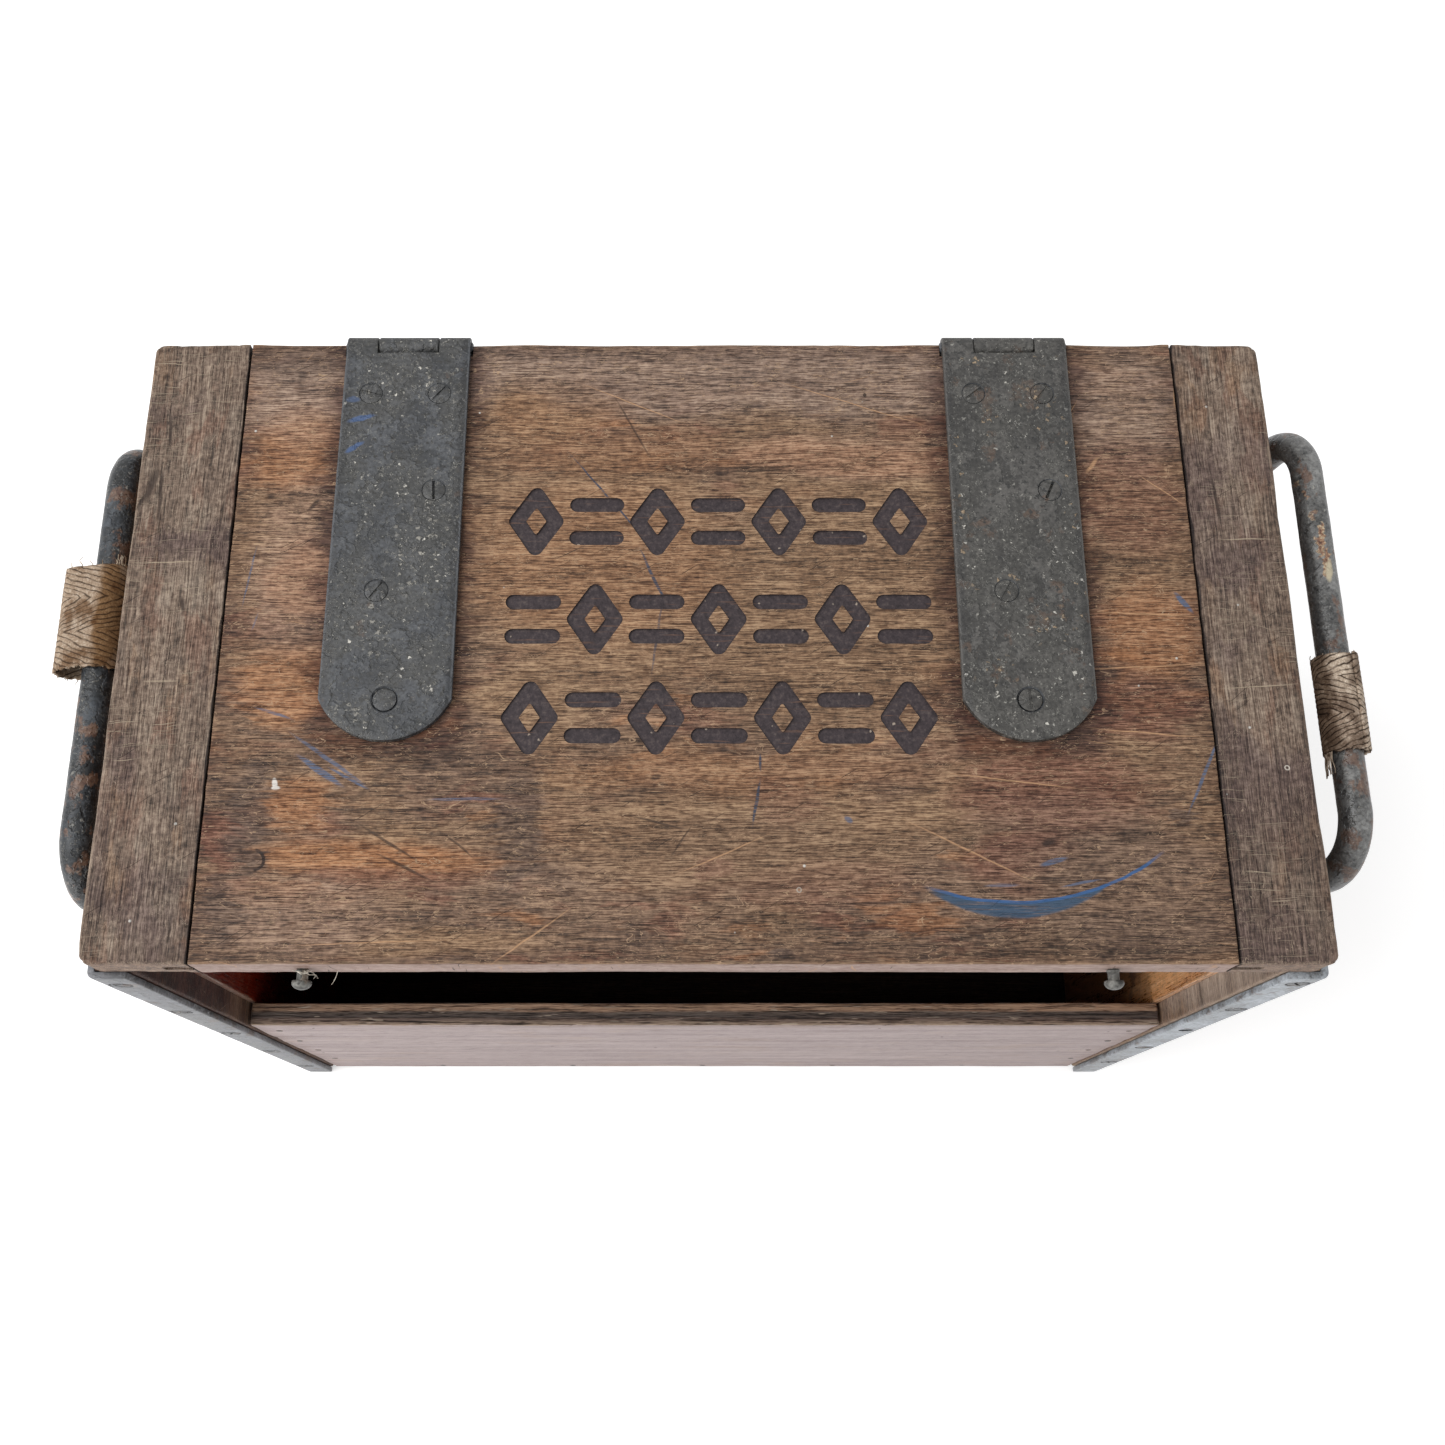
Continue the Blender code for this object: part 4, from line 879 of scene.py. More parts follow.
# Varnished plywood, glossy orange where the light gets in
liningLook = {
    **wallLook, "grain": 2, "axes": (1, 2, 0), "blush": (), "brown": liningTone, "dirt": (0.5, 0.35, 0.25),
    "grime": 0.3, "wear": 0.0002, "edge": 0.0003, "relief": 0.00006, "pores": 0.5, "cracks": 0.2, "bare": 0.2,
    "rim": 0.0008, "rough": (0.25, 0.45), "specks": 0.4, "gloom": 0.9, "drifts": ((redTone, 0.58, 0.7),),
    "specular": 0.5,
}
# The left lining is a shaded copy of the right one: its dark tones and low sheen are painted shade
shadedLiningLook = {**liningLook, "specular": 0.15, "brown": shadedLiningTone, "drifts": ((shadedLiningTone, 0.58, 0.7),)}


def layPlies(piece, low, high):
    f = Finish("panelPlies")
    share = f.fade(f.part(f.bent((0.03, 0.004, 0.004), (0.0, 0.0016, 0.0)), 1), low.y, high.y)
    streak = f.cloud((0.03, 0.0011, 0.0011), 4.0, 0.65)
    fine = f.cloud((0.006, 0.0005, 0.0005), 2.0, 0.6)
    f.colour = f.ramp(share, (0.0, (0.42, 0.32, 0.24)), (0.16, (0.23, 0.165, 0.135)),
                      (0.34, (0.108, 0.086, 0.077)), (0.62, (0.175, 0.138, 0.117)),
                      (0.72, (0.43, 0.28, 0.19)), (1.0, (0.48, 0.32, 0.215)))
    grain = f.ramp(f.total((streak, 2.4), (fine, 1.4)), (0.15, (0.16, 0.14, 0.14)), (0.5, (0.85, 0.8, 0.78)),
                   (0.85, triple(1.0)))
    split = f.fade(f.cloud((0.045, 0.0011, 0.0011), 3.0, 0.6, place=(0.2, 0.0, 0.0)), 0.6, 0.66)
    chip = f.fade(f.cloud((0.016, 0.0016, 0.0016), 2.0, 0.6, place=(0.7, 0.0, 0.0)), 0.64, 0.68)
    f.stain(1.0, grain)
    f.lay((split, 0.85), (0.02, 0.014, 0.012))
    f.lay((chip, 0.8), (0.5, 0.4, 0.31))
    height = f.calc("MULTIPLY_ADD", split, -0.8, f.total((streak, 1.2), (fine, 0.8)))
    piece.data.materials.append(f.done(0.72, height, 0.001, specular=0.3))
    for face in piece.data.polygons:
        if face.normal.z > 0.6 and face.center.z > high.z - 0.01:
            face.material_index = 1


caseBoards = (
    ("side_wall_left", shadedWallLook, (0.006, 0.006, 0.004), "wall_wood"),
    ("side_wall_right", paleLitWallLook, (0.006, 0.006, 0.004), "wall_wood"),
    ("back_wall", acrossLook, (0.006, 0.006, 0.004), "wall_wood"),
    ("bottom_board", floorLook, (0.008, 0.006, 0.006), "batten_wood"),
    ("front_batten_left", battenLook, (0.005, 0.005, 0.006), "batten_wood"),
    ("front_batten_right", battenLook, (0.005, 0.005, 0.006), "batten_wood"),
    ("front_panel", panelLook, (0.004, 0.0018, 0.005), "front_wood"),
    ("lining_right", liningLook, (0.003, 0.006, 0.006), "lining"),
    ("lining_left", shadedLiningLook, (0.003, 0.006, 0.006), "lining"),
)
for seed, (name, look, steps, slot) in enumerate(caseBoards, start=11):
    board(name, look, steps, "case", slot, seed, carved=layPlies if name == "front_panel" else None)
print("case boards made")


# Hinges
strapLook = {
    "dark": (0.012, 0.014, 0.016), "paint": (0.0335, 0.0365, 0.0425), "light": (0.096, 0.102, 0.112),
    "rust": (0.07, 0.036, 0.022), "rustPale": (0.14, 0.08, 0.047), "rustFrom": 0.66, "rustAmount": 0.6,
    "scuff": (0.03, 0.031, 0.033), "grit": 1.0, "rough": (0.4, 0.6), "depth": 0.00055, "specular": 0.45,
}
# Where the paint is thickest with grit: ovals placed from the strap's middle and its rear end
crustSpots = {
    "left": (
        (13, 25, 7, 8, 0, 0.8), (-10, 29, 8, 6, 0, 0.7), (10, 98, 12, 18, 0, 0.9),
        (-6, 131, 10, 12, 0, 0.7), (23, 80, 2.2, 55, 0, 0.6), (-12, 168, 8, 8, 0, 0.6)),
    "right": (
        (0, 13, 22, 2.5, 0), (0, 42, 17, 6, 0), (-22.5, 70, 2.2, 50, 0, 0.9), (22.5, 90, 2.4, 70, 0, 0.9),
        (12, 30, 8, 6, 0, 0.8), (-10, 112, 10, 5, 0, 0.8), (11, 130, 6, 10, 0, 0.8),
        (-12, 148, 8, 8, 0, 0.7)),
}
leftBlue = ((-140, 92.5, 5.5, 1, 14), (-142, 79.5, 4, 1.1, 32), (-144, 101, 2.6, 1.4, 0, 0.6))
strapMore = {
    "left": {"peel": 0.26, "bits": (0.3, 0.285, 0.25), "marks": (((0.045, 0.08, 0.17), leftBlue),)},
    "right": {"peel": 0.28, "bits": (0.33, 0.245, 0.16), "rustFrom": 0.58, "paint": (0.0445, 0.0425, 0.04),
              "light": (0.103, 0.098, 0.092), "dark": (0.018, 0.017, 0.016)},
}
strapFinish = {}
for side in sides:
    low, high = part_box("lid_strap_" + side)
    crusts = [((low.x + high.x) * 500 + across, high.y * 1000 - along, *more)
              for across, along, *more in crustSpots[side]]
    strapFinish[side] = steelFinish("strapPaint" + side.title(), {
        **strapLook, "box": (low, high), "grit": 1.25, "blotchy": 1.1, "crowd": (0.4, 0.58, 0.2),
        "crusts": crusts, **strapMore[side]})
pinFinish = steelFinish("pinSteel", {**strapLook, "grit": 0.3})


# Cuts the faces into rows along an axis
def sliced(bm, axis, start, end, step):
    normal = Vector([float(index == axis) for index in range(3)])
    count = round((end - start) / step)
    for index in range(1, count):
        place = normal * (start + (end - start) * index / count)
        bmesh.ops.bisect_plane(bm, geom=bm.verts[:] + bm.edges[:] + bm.faces[:], dist=1e-6, plane_co=place,
                               plane_no=normal)


def leafOutline(length, middle, keepMiddle):
    half = hingeLook["half"]
    radius = hingeLook["end"] * half
    corner = math.acos(half / radius)
    swing = hingeLook["knuckle"] + hingeLook["gap"]
    inner, outer = (0.0, -swing) if keepMiddle else (-swing, 0.0)
    outline = [(-half, outer), (-middle, outer), (-middle, inner), (middle, inner), (middle, outer),
               (half, outer)]
    for index in range(hingeLook["arcSteps"] + 1):
        angle = -corner + (2 * corner - math.pi) * index / hingeLook["arcSteps"]
        outline.append((radius * math.cos(angle), radius - length + radius * math.sin(angle)))
    return outline


# A leaf lies flat with its pin on local X, its plate towards -Y and its face up. Its last hole is loose.
def leaf(name, length, keepMiddle, place, holes, material, seed):
    knuckle, half, chamfer = hingeLook["knuckle"], hingeLook["half"], hingeLook["chamfer"]
    middle = hingeLook["middle"] / 2 + (0.0 if keepMiddle else hingeLook["gap"])
    outline = leafOutline(length, middle, keepMiddle)
    bm = bmesh.new()
    face = bm.faces.new([bm.verts.new((x, y, knuckle)) for x, y in reversed(outline)])
    bmesh.ops.recalc_face_normals(bm, faces=bm.faces)
    bmesh.ops.inset_region(bm, faces=[face], thickness=hingeLook["rim"])
    sliced(bm, 0, -half, half, hingeLook["step"])
    sliced(bm, 1, -length, 0.0, hingeLook["step"])
    rim = {vert for edge in bm.edges if edge.is_boundary for vert in edge.verts}
    offset = Vector((seed, seed * 2.0, 0.0))
    for vert in bm.verts:
        at = vert.co
        if vert in rim:
            at.z -= hingeLook["rimDrop"] * (1.0 + 0.8 * noise.noise(at * 300 + offset))
            continue
        flat = noise.noise(at * 90 + offset) + 0.5 * noise.noise(at * 260 - offset)
        flakes = min(1.0, max(0.0, 0.5 + 6.0 * noise.noise(at * 150 + offset * 2)))
        at.z += hingeLook["relief"] * (flat * 0.8 + flakes * 0.7 - 0.35)
        at.z += hingeLook["pimple"] * noise.noise(at * 520 + offset)
    edges = [edge for edge in bm.edges if edge.is_boundary]
    walls = bmesh.ops.extrude_edge_only(bm, edges=edges)["geom"]
    for vert in (part for part in walls if isinstance(part, bmesh.types.BMVert)):
        vert.co.z = knuckle - hingeLook["thickness"]
    bmesh.ops.holes_fill(bm, edges=[edge for edge in bm.edges if edge.is_boundary], sides=0)
    bmesh.ops.recalc_face_normals(bm, faces=bm.faces)
    bmesh.ops.transform(bm, matrix=place, verts=bm.verts)
    plate = keep(name + "_worn", bm, material, 35.0)
    barrels = []
    for start, end in ((-middle, middle),) if keepMiddle else ((-half, -middle), (middle, half)):
        profile = [(0.0, start), (knuckle - chamfer, start), (knuckle, start + chamfer),
                   (knuckle, end - chamfer), (knuckle - chamfer, end), (0.0, end)]
        barrels.append(turnedPiece("barrel", profile, 36, place @ facing((0, 0, 0), (1, 0, 0)), material))
    carve(plate, barrels, "UNION", 35.0)
    sizes = [hingeLook["hole"]] * (len(holes) - 1) + [hingeLook["loose"]]
    carve(plate, [drill(size, *hole) for size, hole in zip(sizes, holes)], smooth=35.0)
    return plate


# A countersunk hole
def drill(radius, point, normal):
    profile = [(0.0, 0.003), (radius, 0.003), (radius, 0.0), (radius - 0.0022, -0.0022), (0.0, -0.0022)]
    return turnedPiece("drill", profile, 28, facing(point, normal), pinFinish)


def headOf(nodeName, axis, sign):
    low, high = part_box(nodeName)
    point = (low + high) / 2
    point[axis] = (high if sign > 0 else low)[axis]
    return point


hingeLine = Vector(joints["lid_hinge"]["pos_m"])
backTurn = Matrix(((-1, 0, 0, 0), (0, 0, 1, 0), (0, 1, 0, 0), (0, 0, 0, 1)))
# Across and along, as shares of the leaf
backScrewPlaces = ((0.55, 0.22), (-0.55, 0.22), (0.0, 0.52), (0.0, 0.86))
backSeats = {}
for side, sign in sides.items():
    low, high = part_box("lid_strap_" + side)
    onLid = Matrix.Translation(((low.x + high.x) / 2, hingeLine.y, hingeLine.z))
    heads = [(headOf(f"strap_screw_{side}_{number}", 2, 1), (0, 0, 1)) for number in range(1, 6)]
    assign(leaf("lid_strap_" + side, hingeLine.y - low.y, False, onLid, heads, strapFinish[side], 3 + sign),
           "lid", "painted_steel", "lid_strap_" + side)
    length = hingeLine.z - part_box("back_leaf_" + side)[0].z
    seats = [(across * hingeLook["half"], -along * length, hingeLook["knuckle"])
             for across, along in backScrewPlaces]
    backSeats[side] = [(onLid @ backTurn @ Vector(seat), (0, 1, 0)) for seat in seats]
    assign(leaf("back_leaf_" + side, length, True, onLid @ backTurn, backSeats[side], strapFinish[side],
                7 + sign), "case", "painted_steel", "back_leaf_" + side)
    low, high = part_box("hinge_pin_" + side)
    radius, reach = (high.z - low.z) / 2, (high.x - low.x) / 2
    profile = [(0.0, -reach), (radius * 0.8, -reach), (radius, -reach + 0.0005), (radius, reach - 0.0005),
               (radius * 0.8, reach), (0.0, reach)]
    pin = facing((low + high) / 2, (1, 0, 0))
    assign(turnedPiece("hinge_pin_" + side + "_worn", profile, 24, pin, pinFinish), "case", "screw_steel",
           "hinge_pin_" + side)
print("hinges made")

# Screws: one slotted head of each size, copied to its seat
screwLook = {"slot": 0.0011, "crown": 0.00035, "segments": 32, "depth": 0.012}


def screwShape(head, slotDepth):
    crown, depth, slot = screwLook["crown"], screwLook["depth"], screwLook["slot"] / 2
    profile = [(0.0, crown), (head * 0.5, crown * 0.8), (head * 0.85, crown * 0.35), (head, -0.0001),
               (head, -0.0004), (head * 0.45, -0.0004 - head * 0.5), (head * 0.45, -depth), (0.0, -depth)]
    blank = turnedPiece("blank", profile, screwLook["segments"], Matrix.Identity(4), pinFinish)
    if slotDepth:
        low, high = (-slot, -head * 0.9, -slotDepth), (slot, head * 0.9, 0.002)
        carve(blank, [boxPiece("slot", low, high, pinFinish)])
    return blank


def screw(name, pattern, point, normal, turn, body, material, *replaced):
    mesh = pattern.data.copy()
    mesh.transform(facing(point, normal, math.radians(turn)))
    mesh.materials.clear()
    mesh.materials.append(material)
    assign(addPiece(name, mesh), body, "screw_steel", *replaced)


leafScrew = screwShape(0.0045, 0.0014)
filledScrew = screwShape(0.0045, 0.0003)
plainScrew = screwShape(0.0045, 0.0)
angleScrew = screwShape(0.0038, 0.0006)
strapTurns = {"left": (-40, 75, 4, -36, 60), "right": (-38, -52, -24, -30, 3)}
for side in sides:
    for number, turn in enumerate(strapTurns[side], start=1):
        node = f"strap_screw_{side}_{number}"
        pattern = leafScrew if number == 3 else plainScrew if (side, number) == ("left", 5) else filledScrew
        screw(node + "_head", pattern, headOf(node, 2, 1), (0, 0, 1), turn, "lid", strapFinish[side], node)
    for number, seat in enumerate(backSeats[side], start=1):
        screw(f"back_leaf_screw_{side}_{number}", leafScrew, *seat, 40 * number, "case", pinFinish)

# Corner angles, with a screw in each seat of both legs
angleLook = {"thickness": 0.0028, "leg": 0.015, "bend": 0.0028, "bendSteps": 6, "step": 0.006, "edge": 0.0005,
             "hole": 0.0047, "lower": 0.02, "bow": 0.00018, "relief": 0.00012}
calmLook = {**strapLook, "broad": (0.03, 0.03, 0.06), "broken": 0.42, "grit": 0.35, "rustFrom": 0.58}
# One paint in two copies: darker on the left angles as painted shade, paler on the right ones as painted
# light
angleFinish = {
    "left": steelFinish("anglePaintShaded", {
        **calmLook, "paint": (0.157, 0.16, 0.174), "light": (0.312, 0.318, 0.34),
        "dark": (0.075, 0.077, 0.082), "rustAmount": 0.5, "scuff": (0.1, 0.09, 0.085)}),
    "right": steelFinish("anglePaintLit", {
        **calmLook, "paint": (0.35, 0.378, 0.412), "light": (0.56, 0.595, 0.64),
        "dark": (0.105, 0.105, 0.108), "rustAmount": 0.6, "scuff": (0.15, 0.14, 0.13)}),
}
screwFinish = {
    "left": steelFinish("angleScrewLeft", {
        **strapLook, "paint": (0.12, 0.125, 0.135), "light": (0.26, 0.27, 0.29), "rustFrom": 0.52}),
    "right": steelFinish("angleScrewRight", {
        **strapLook, "paint": (0.17, 0.175, 0.185), "light": (0.38, 0.395, 0.42), "rustFrom": 0.52}),
}
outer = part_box("side_wall_right")[1]


def soften(bm, least, offset):
    sharp = [edge for edge in bm.edges if edge.calc_face_angle(0.0) > math.radians(least)]
    bmesh.ops.bevel(bm, geom=sharp, offset=offset, segments=2, profile=0.5, affect="EDGES", material=-1,
                    clamp_overlap=True)


def angle(side, sign, end, way, seats):
    name = f"corner_angle_{end}_{side}"
    low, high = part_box(name)
    thick, leg, bend = angleLook["thickness"], angleLook["leg"], angleLook["bend"]
    x = high.x if sign > 0 else -low.x
    y = high.y if way > 0 else -low.y
    outline = [(x - leg, y)]
    for index in range(angleLook["bendSteps"] + 1):
        turn = math.pi / 2 * (1 - index / angleLook["bendSteps"])
        outline.append((x - bend + bend * math.cos(turn), y - bend + bend * math.sin(turn)))
    outline += [(x, y - leg), (x - thick, y - leg), (x - thick, y - thick), (x - leg, y - thick)]
    bm = bmesh.new()
    face = bm.faces.new([bm.verts.new((sign * px, way * py, low.z)) for px, py in outline])
    made = bmesh.ops.extrude_face_region(bm, geom=[face])["geom"]
    moved = [part for part in made if isinstance(part, bmesh.types.BMVert)]
    bmesh.ops.translate(bm, vec=(0.0, 0.0, high.z - low.z), verts=moved)
    bmesh.ops.recalc_face_normals(bm, faces=bm.faces)
    soften(bm, 60, angleLook["edge"])
    sliced(bm, 2, low.z, high.z, angleLook["step"])
    offset = Vector((sign, way, 0.0)) * 3
    centre = Vector((sign * outer.x, way * outer.y, 0.0))
    for vert in bm.verts:
        wave = noise.noise(Vector((0.0, 0.0, vert.co.z * 28)) + offset) * angleLook["bow"]
        wave += noise.noise(vert.co * 120 + offset) * angleLook["relief"]
        inwards = (centre - Vector((vert.co.x, vert.co.y, 0.0))).normalized()
        vert.co += inwards * max(0.0, wave)
    piece = keep(name + "_worn", bm, angleFinish[side], 35.0)
    holes = [drill(angleLook["hole"], *seat) for seat in seats]
    if (end, side) == ("front", "right"):  # the hole whose screw is missing
        above, below = (headOf(f"angle_screw_right_{number}", 1, -1) for number in (2, 3))
        profile = [(0.0, 0.004), (0.0034, 0.004), (0.0034, 0.0), (0.0017, -0.002), (0.0017, -0.0027),
                   (0.0, -0.0027)]
        holes.append(turnedPiece("empty", profile, 24, facing((above + below) / 2, (0, way, 0)), pinFinish))
    carve(piece, holes, smooth=35.0)
    assign(piece, "case", "angle_steel", name)


for side, sign in sides.items():
    nodeNames = [f"angle_screw_{side}_{number}" for number in range(1, 6 if side == "left" else 5)]
    heads = [headOf(node, 1, -1) for node in nodeNames]
    for end, way in (("front", -1), ("rear", 1)):
        low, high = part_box(f"corner_angle_{end}_{side}")
        face = low.y if way < 0 else high.y
        flank = (low.x if sign < 0 else high.x, way * (outer.y - angleLook["leg"] / 2))
        seats = [((head.x, face, head.z), (0, way, 0)) for head in heads]
        seats += [((*flank, head.z - angleLook["lower"]), (sign, 0, 0)) for head in heads]
        angle(side, sign, end, way, seats)
        for number, seat in enumerate(seats):
            replaced = nodeNames[number:number + 1] if way < 0 else []
            screw(f"angle_screw_head_{end}_{side}_{number}", angleScrew, *seat, 35 + 58 * number, "case",
                  screwFinish[side], *replaced)
print("corner angles made")

# Nails: small dark heads, level with the boards
nailLook = {"head": 0.0017, "spacing": 0.04, "low": 0.0062, "down": 0.02, "in": 0.009}
nailFinish = steelFinish("nailSteel", {
    **strapLook, "dark": (0.012, 0.01, 0.009), "paint": (0.035, 0.028, 0.025), "light": (0.09, 0.07, 0.06),
    "rustFrom": 0.45, "grit": 0.0})
nails = []
low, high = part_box("front_panel")
for sign in (-1, 1):
    for number in range(4):
        height = high.z - nailLook["down"] - number * nailLook["spacing"]
        nails.append(((sign * (high.x - nailLook["in"]), low.y, height), (0, -1, 0)))
for share in (-0.66, -0.33, 0.0, 0.33, 0.66):
    nails.append(((share * outer.x, low.y, nailLook["low"]), (0, -1, 0)))
    nails.append(((share * outer.x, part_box("back_wall")[1].y, nailLook["low"]), (0, 1, 0)))
for sign in (-1, 1):
    for share in (-0.6, 0.0, 0.6):
        nails.append(((sign * outer.x, share * outer.y, nailLook["low"]), (sign, 0, 0)))
bm = bmesh.new()
for number, (point, normal) in enumerate(nails):
    head = nailLook["head"] * (1.0 + 0.12 * noise.noise(Vector((number * 1.7, 0.0, 0.0))))
    profile = [(0.0, 0.00025), (head * 0.7, 0.00022), (head, 0.00002), (head, -0.0006), (0.0, -0.0006)]
    turned(bm, profile, 16, facing(point, normal))
assign(keep("board_nails", bm, nailFinish), "case", "screw_steel")

# Studs in the lid's front edge
studFinish = steelFinish("studSteel", {
    "dark": (0.016, 0.015, 0.014), "paint": (0.052, 0.05, 0.046), "light": (0.19, 0.186, 0.172),
    "rust": (0.16, 0.12, 0.09), "rustPale": (0.26, 0.22, 0.18), "rustFrom": 0.55, "rustAmount": 0.7,
    "scuff": (0.2, 0.2, 0.2), "grit": 0.0, "rough": (0.35, 0.6), "depth": 0.0002, "metal": 0.6})
studLook = {"dome": 0.0026, "domeSteps": 8, "shank": 0.0021, "segments": 32}
studFoot = {}
for side in sides:
    low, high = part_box("lid_stud_" + side)
    studFoot[side] = Vector(((low.x + high.x) / 2, panel[0].y, (low.z + high.z) / 2))
    head, reach, shank, dome = (high.x - low.x) / 2, panel[0].y - low.y, studLook["shank"], studLook["dome"]
    profile = [(0.0, -0.006), (shank, -0.006), (shank, 0.0002), (shank + 0.0005, 0.0006), (shank, 0.0012),
               (shank, reach - 0.0034), (head * 0.96, reach - 0.0032)]
    for step in range(studLook["domeSteps"]):
        turn = math.pi / 2 * step / studLook["domeSteps"]
        profile.append((head * math.cos(turn), reach - dome + dome * math.sin(turn)))
    profile.append((0.0, reach))
    stud = turnedPiece("lid_stud_" + side + "_worn", profile, studLook["segments"],
                       facing(studFoot[side], (0, -1, 0)), studFinish)
    assign(stud, "lid", "stud_steel", "lid_stud_" + side)

# Rod handles
bailLook = {"radius": 0.00635, "span": 0.189, "rise": 0.05, "bend": 0.022, "footBend": 0.011, "foot": 0.033,
            "lean": {"left": 2.0, "right": 12.0}, "step": 0.0022, "turns": 14, "around": 32,
            "relief": 0.00012}
handleLook = {
    **strapLook, "paint": (0.015, 0.019, 0.025), "light": (0.063, 0.074, 0.088),
    "dark": (0.005, 0.006, 0.007), "rust": (0.075, 0.032, 0.022), "rustPale": (0.21, 0.12, 0.075),
    "rustFrom": 0.54, "rustAmount": 0.85, "rustSize": (0.008, 0.012, 0.008), "grit": 0.45,
    "rough": (0.28, 0.5), "specular": 0.38,
}
handleMore = {
    "left": {},
    "right": {
        "chips": ((250, 60, 1.2, 3, -10, 0.8), (251.8, 48, 1.6, 8, -10), (253, 38, 1.4, 6.5, -8),
                  (248.5, 69.5, 0.8, 2.2, 0, 0.8), (246.2, 76, 0.7, 1.2, 0, 0.8)),
        # The first mark is painted shade along the rod's inner side; the second is a pale chip
        "marks": (((0.016, 0.017, 0.019), ((244, -10, 4.6, 125, 0, 0.62),)),
                  ((0.5, 0.44, 0.31), ((253.4, 34.5, 1.4, 4.5, -8),))),
        "specular": 0.5, "paint": (0.15, 0.15, 0.148), "light": (0.3, 0.3, 0.292),
        "dark": (0.012, 0.013, 0.014),
    },
}


def straight(start, end):
    steps = max(1, round((end - start).length / bailLook["step"]))
    return [start.lerp(end, step / steps) for step in range(1, steps + 1)]


# Points of the bent rod in its own plane: along Y, and up
def rodLine():
    half, rise = bailLook["span"] / 2, bailLook["rise"]
    foot = Vector((half - bailLook["foot"], 0.0))
    path = [foot, Vector((half, 0.0)), Vector((half, rise)), Vector((0.0, rise))]
    points = [foot]
    bends = (bailLook["footBend"], bailLook["bend"])
    for before, corner, after, radius in zip(path, path[1:], path[2:], bends):
        first = (before - corner).normalized()
        second = (after - corner).normalized()
        centre = corner + (first + second) * radius
        points += straight(points[-1], corner + first * radius)
        for step in range(1, bailLook["turns"] + 1):
            turn = math.pi / 2 * step / bailLook["turns"]
            points.append(centre - second * radius * math.cos(turn) - first * radius * math.sin(turn))
    points += straight(points[-1], path[-1])
    return points + [Vector((-point.x, point.y)) for point in reversed(points[:-1])]


# A grid rolled round the rod's line, with its seam joined and its ends closed
def rod(seed):
    points = rodLine()
    last = len(points) - 1
    bm = bmesh.new()
    bmesh.ops.create_grid(bm, x_segments=last, y_segments=bailLook["around"], size=0.5)
    for vert in bm.verts:
        index = round((vert.co.x + 0.5) * last)
        turn = math.tau * (vert.co.y + 0.5)
        ahead = (points[min(index + 1, last)] - points[max(index - 1, 0)]).normalized()
        out = Vector((0.0, -ahead.y, ahead.x))
        point = Vector((0.0, points[index].x, points[index].y))
        direction = out * math.cos(turn) + Vector((1.0, 0.0, 0.0)) * math.sin(turn)
        vert.co = point + direction * bailLook["radius"]
        relief = noise.noise(vert.co * 60 + Vector((seed, 0, 0))) + noise.noise(vert.co * 210)
        vert.co += direction * bailLook["relief"] * relief
    bmesh.ops.remove_doubles(bm, verts=bm.verts, dist=0.00002)
    bmesh.ops.holes_fill(bm, edges=[edge for edge in bm.edges if edge.is_boundary], sides=0)
    bmesh.ops.recalc_face_normals(bm, faces=bm.faces)
    return bm


# Cast lugs: the node's own outline with soft edges
def castLug(name, material):
    bm = bmesh.new()
    bm.from_mesh(nodes[name].data)
    bmesh.ops.remove_doubles(bm, verts=bm.verts, dist=0.00002)
    bmesh.ops.dissolve_limit(bm, angle_limit=math.radians(1), verts=bm.verts, edges=bm.edges)
    soften(bm, 50, 0.0007)
    assign(keep(name + "_worn", bm, material, 35.0), "case", "painted_steel", name)


handleFrames = {}
for side, sign in sides.items():
    pivot = Matrix.Translation(joints[f"handle_{side}_swing"]["pos_m"])
    handleFrames[side] = pivot @ Matrix.Rotation(math.radians(sign * bailLook["lean"][side]), 4, "Y")
    finish = steelFinish("handlePaint_" + side, {**handleLook, **handleMore[side]})
    bm = rod(sign)
    bmesh.ops.transform(bm, matrix=handleFrames[side], verts=bm.verts)
    bail = keep(f"handle_bail_{side}_worn", bm, finish, 50.0)
    assign(bail, "handle_" + side, "handle_steel", "handle_bail_" + side)
    for end in ("front", "rear"):
        castLug(f"handle_lug_{side}_{end}", finish)
    for number in range(1, 5):
        node = f"lug_screw_{side}_{number}"
        point = headOf(node, 0, sign)
        screw(node + "_head", leafScrew, point, (sign, 0, 0), 33 * number, "case", finish, node)
print("handles made")

# Webbing: one strip wound round each rod, woven in herringbone bands
wrapLook = {
    "left": {"width": 0.044, "centre": 0.0147, "slack": 0.01, "droop": 0.0015, "loop": 0.007, "turns": 1.45,
             "thick": 0.00115, "fray": 0.0019, "seed": 5.0, "threads": (26, 14), "long": 0.0042,
             "tuft": (0.6, 1, 1.4, 5), "loose": (1.0, 1.0)},
    "right": {"width": 0.04, "centre": -0.0215, "slack": 0.0, "turns": 1.6, "thick": 0.0011, "fray": 0.0011,
              "seed": 9.0, "threads": (16, 14), "long": 0.003, "tuft": (0.55, -1, 3.6, 18),
              "loose": (0.5, 0.4)},
}
weave = {"band": 0.015, "pitch": 0.005, "slope": 2.3, "ridge": 0.00022, "step": 0.0006, "rod": 0.00655}
webLook = {
    **weave, "dark": (0.15, 0.098, 0.06), "cotton": (0.33, 0.245, 0.175), "pale": (0.56, 0.47, 0.38),
    "shadow": (0.035, 0.021, 0.014), "gap": 0.85, "dirt": (0.5, 0.4, 0.32), "dirtRange": (0.5, 0.66),
    "dirtPlace": (0.0, 0.0, 0.0), "stains": (((0.5, 0.37, 0.24), ((-240, 14.7, 5.5, 30, 0),)),),
}
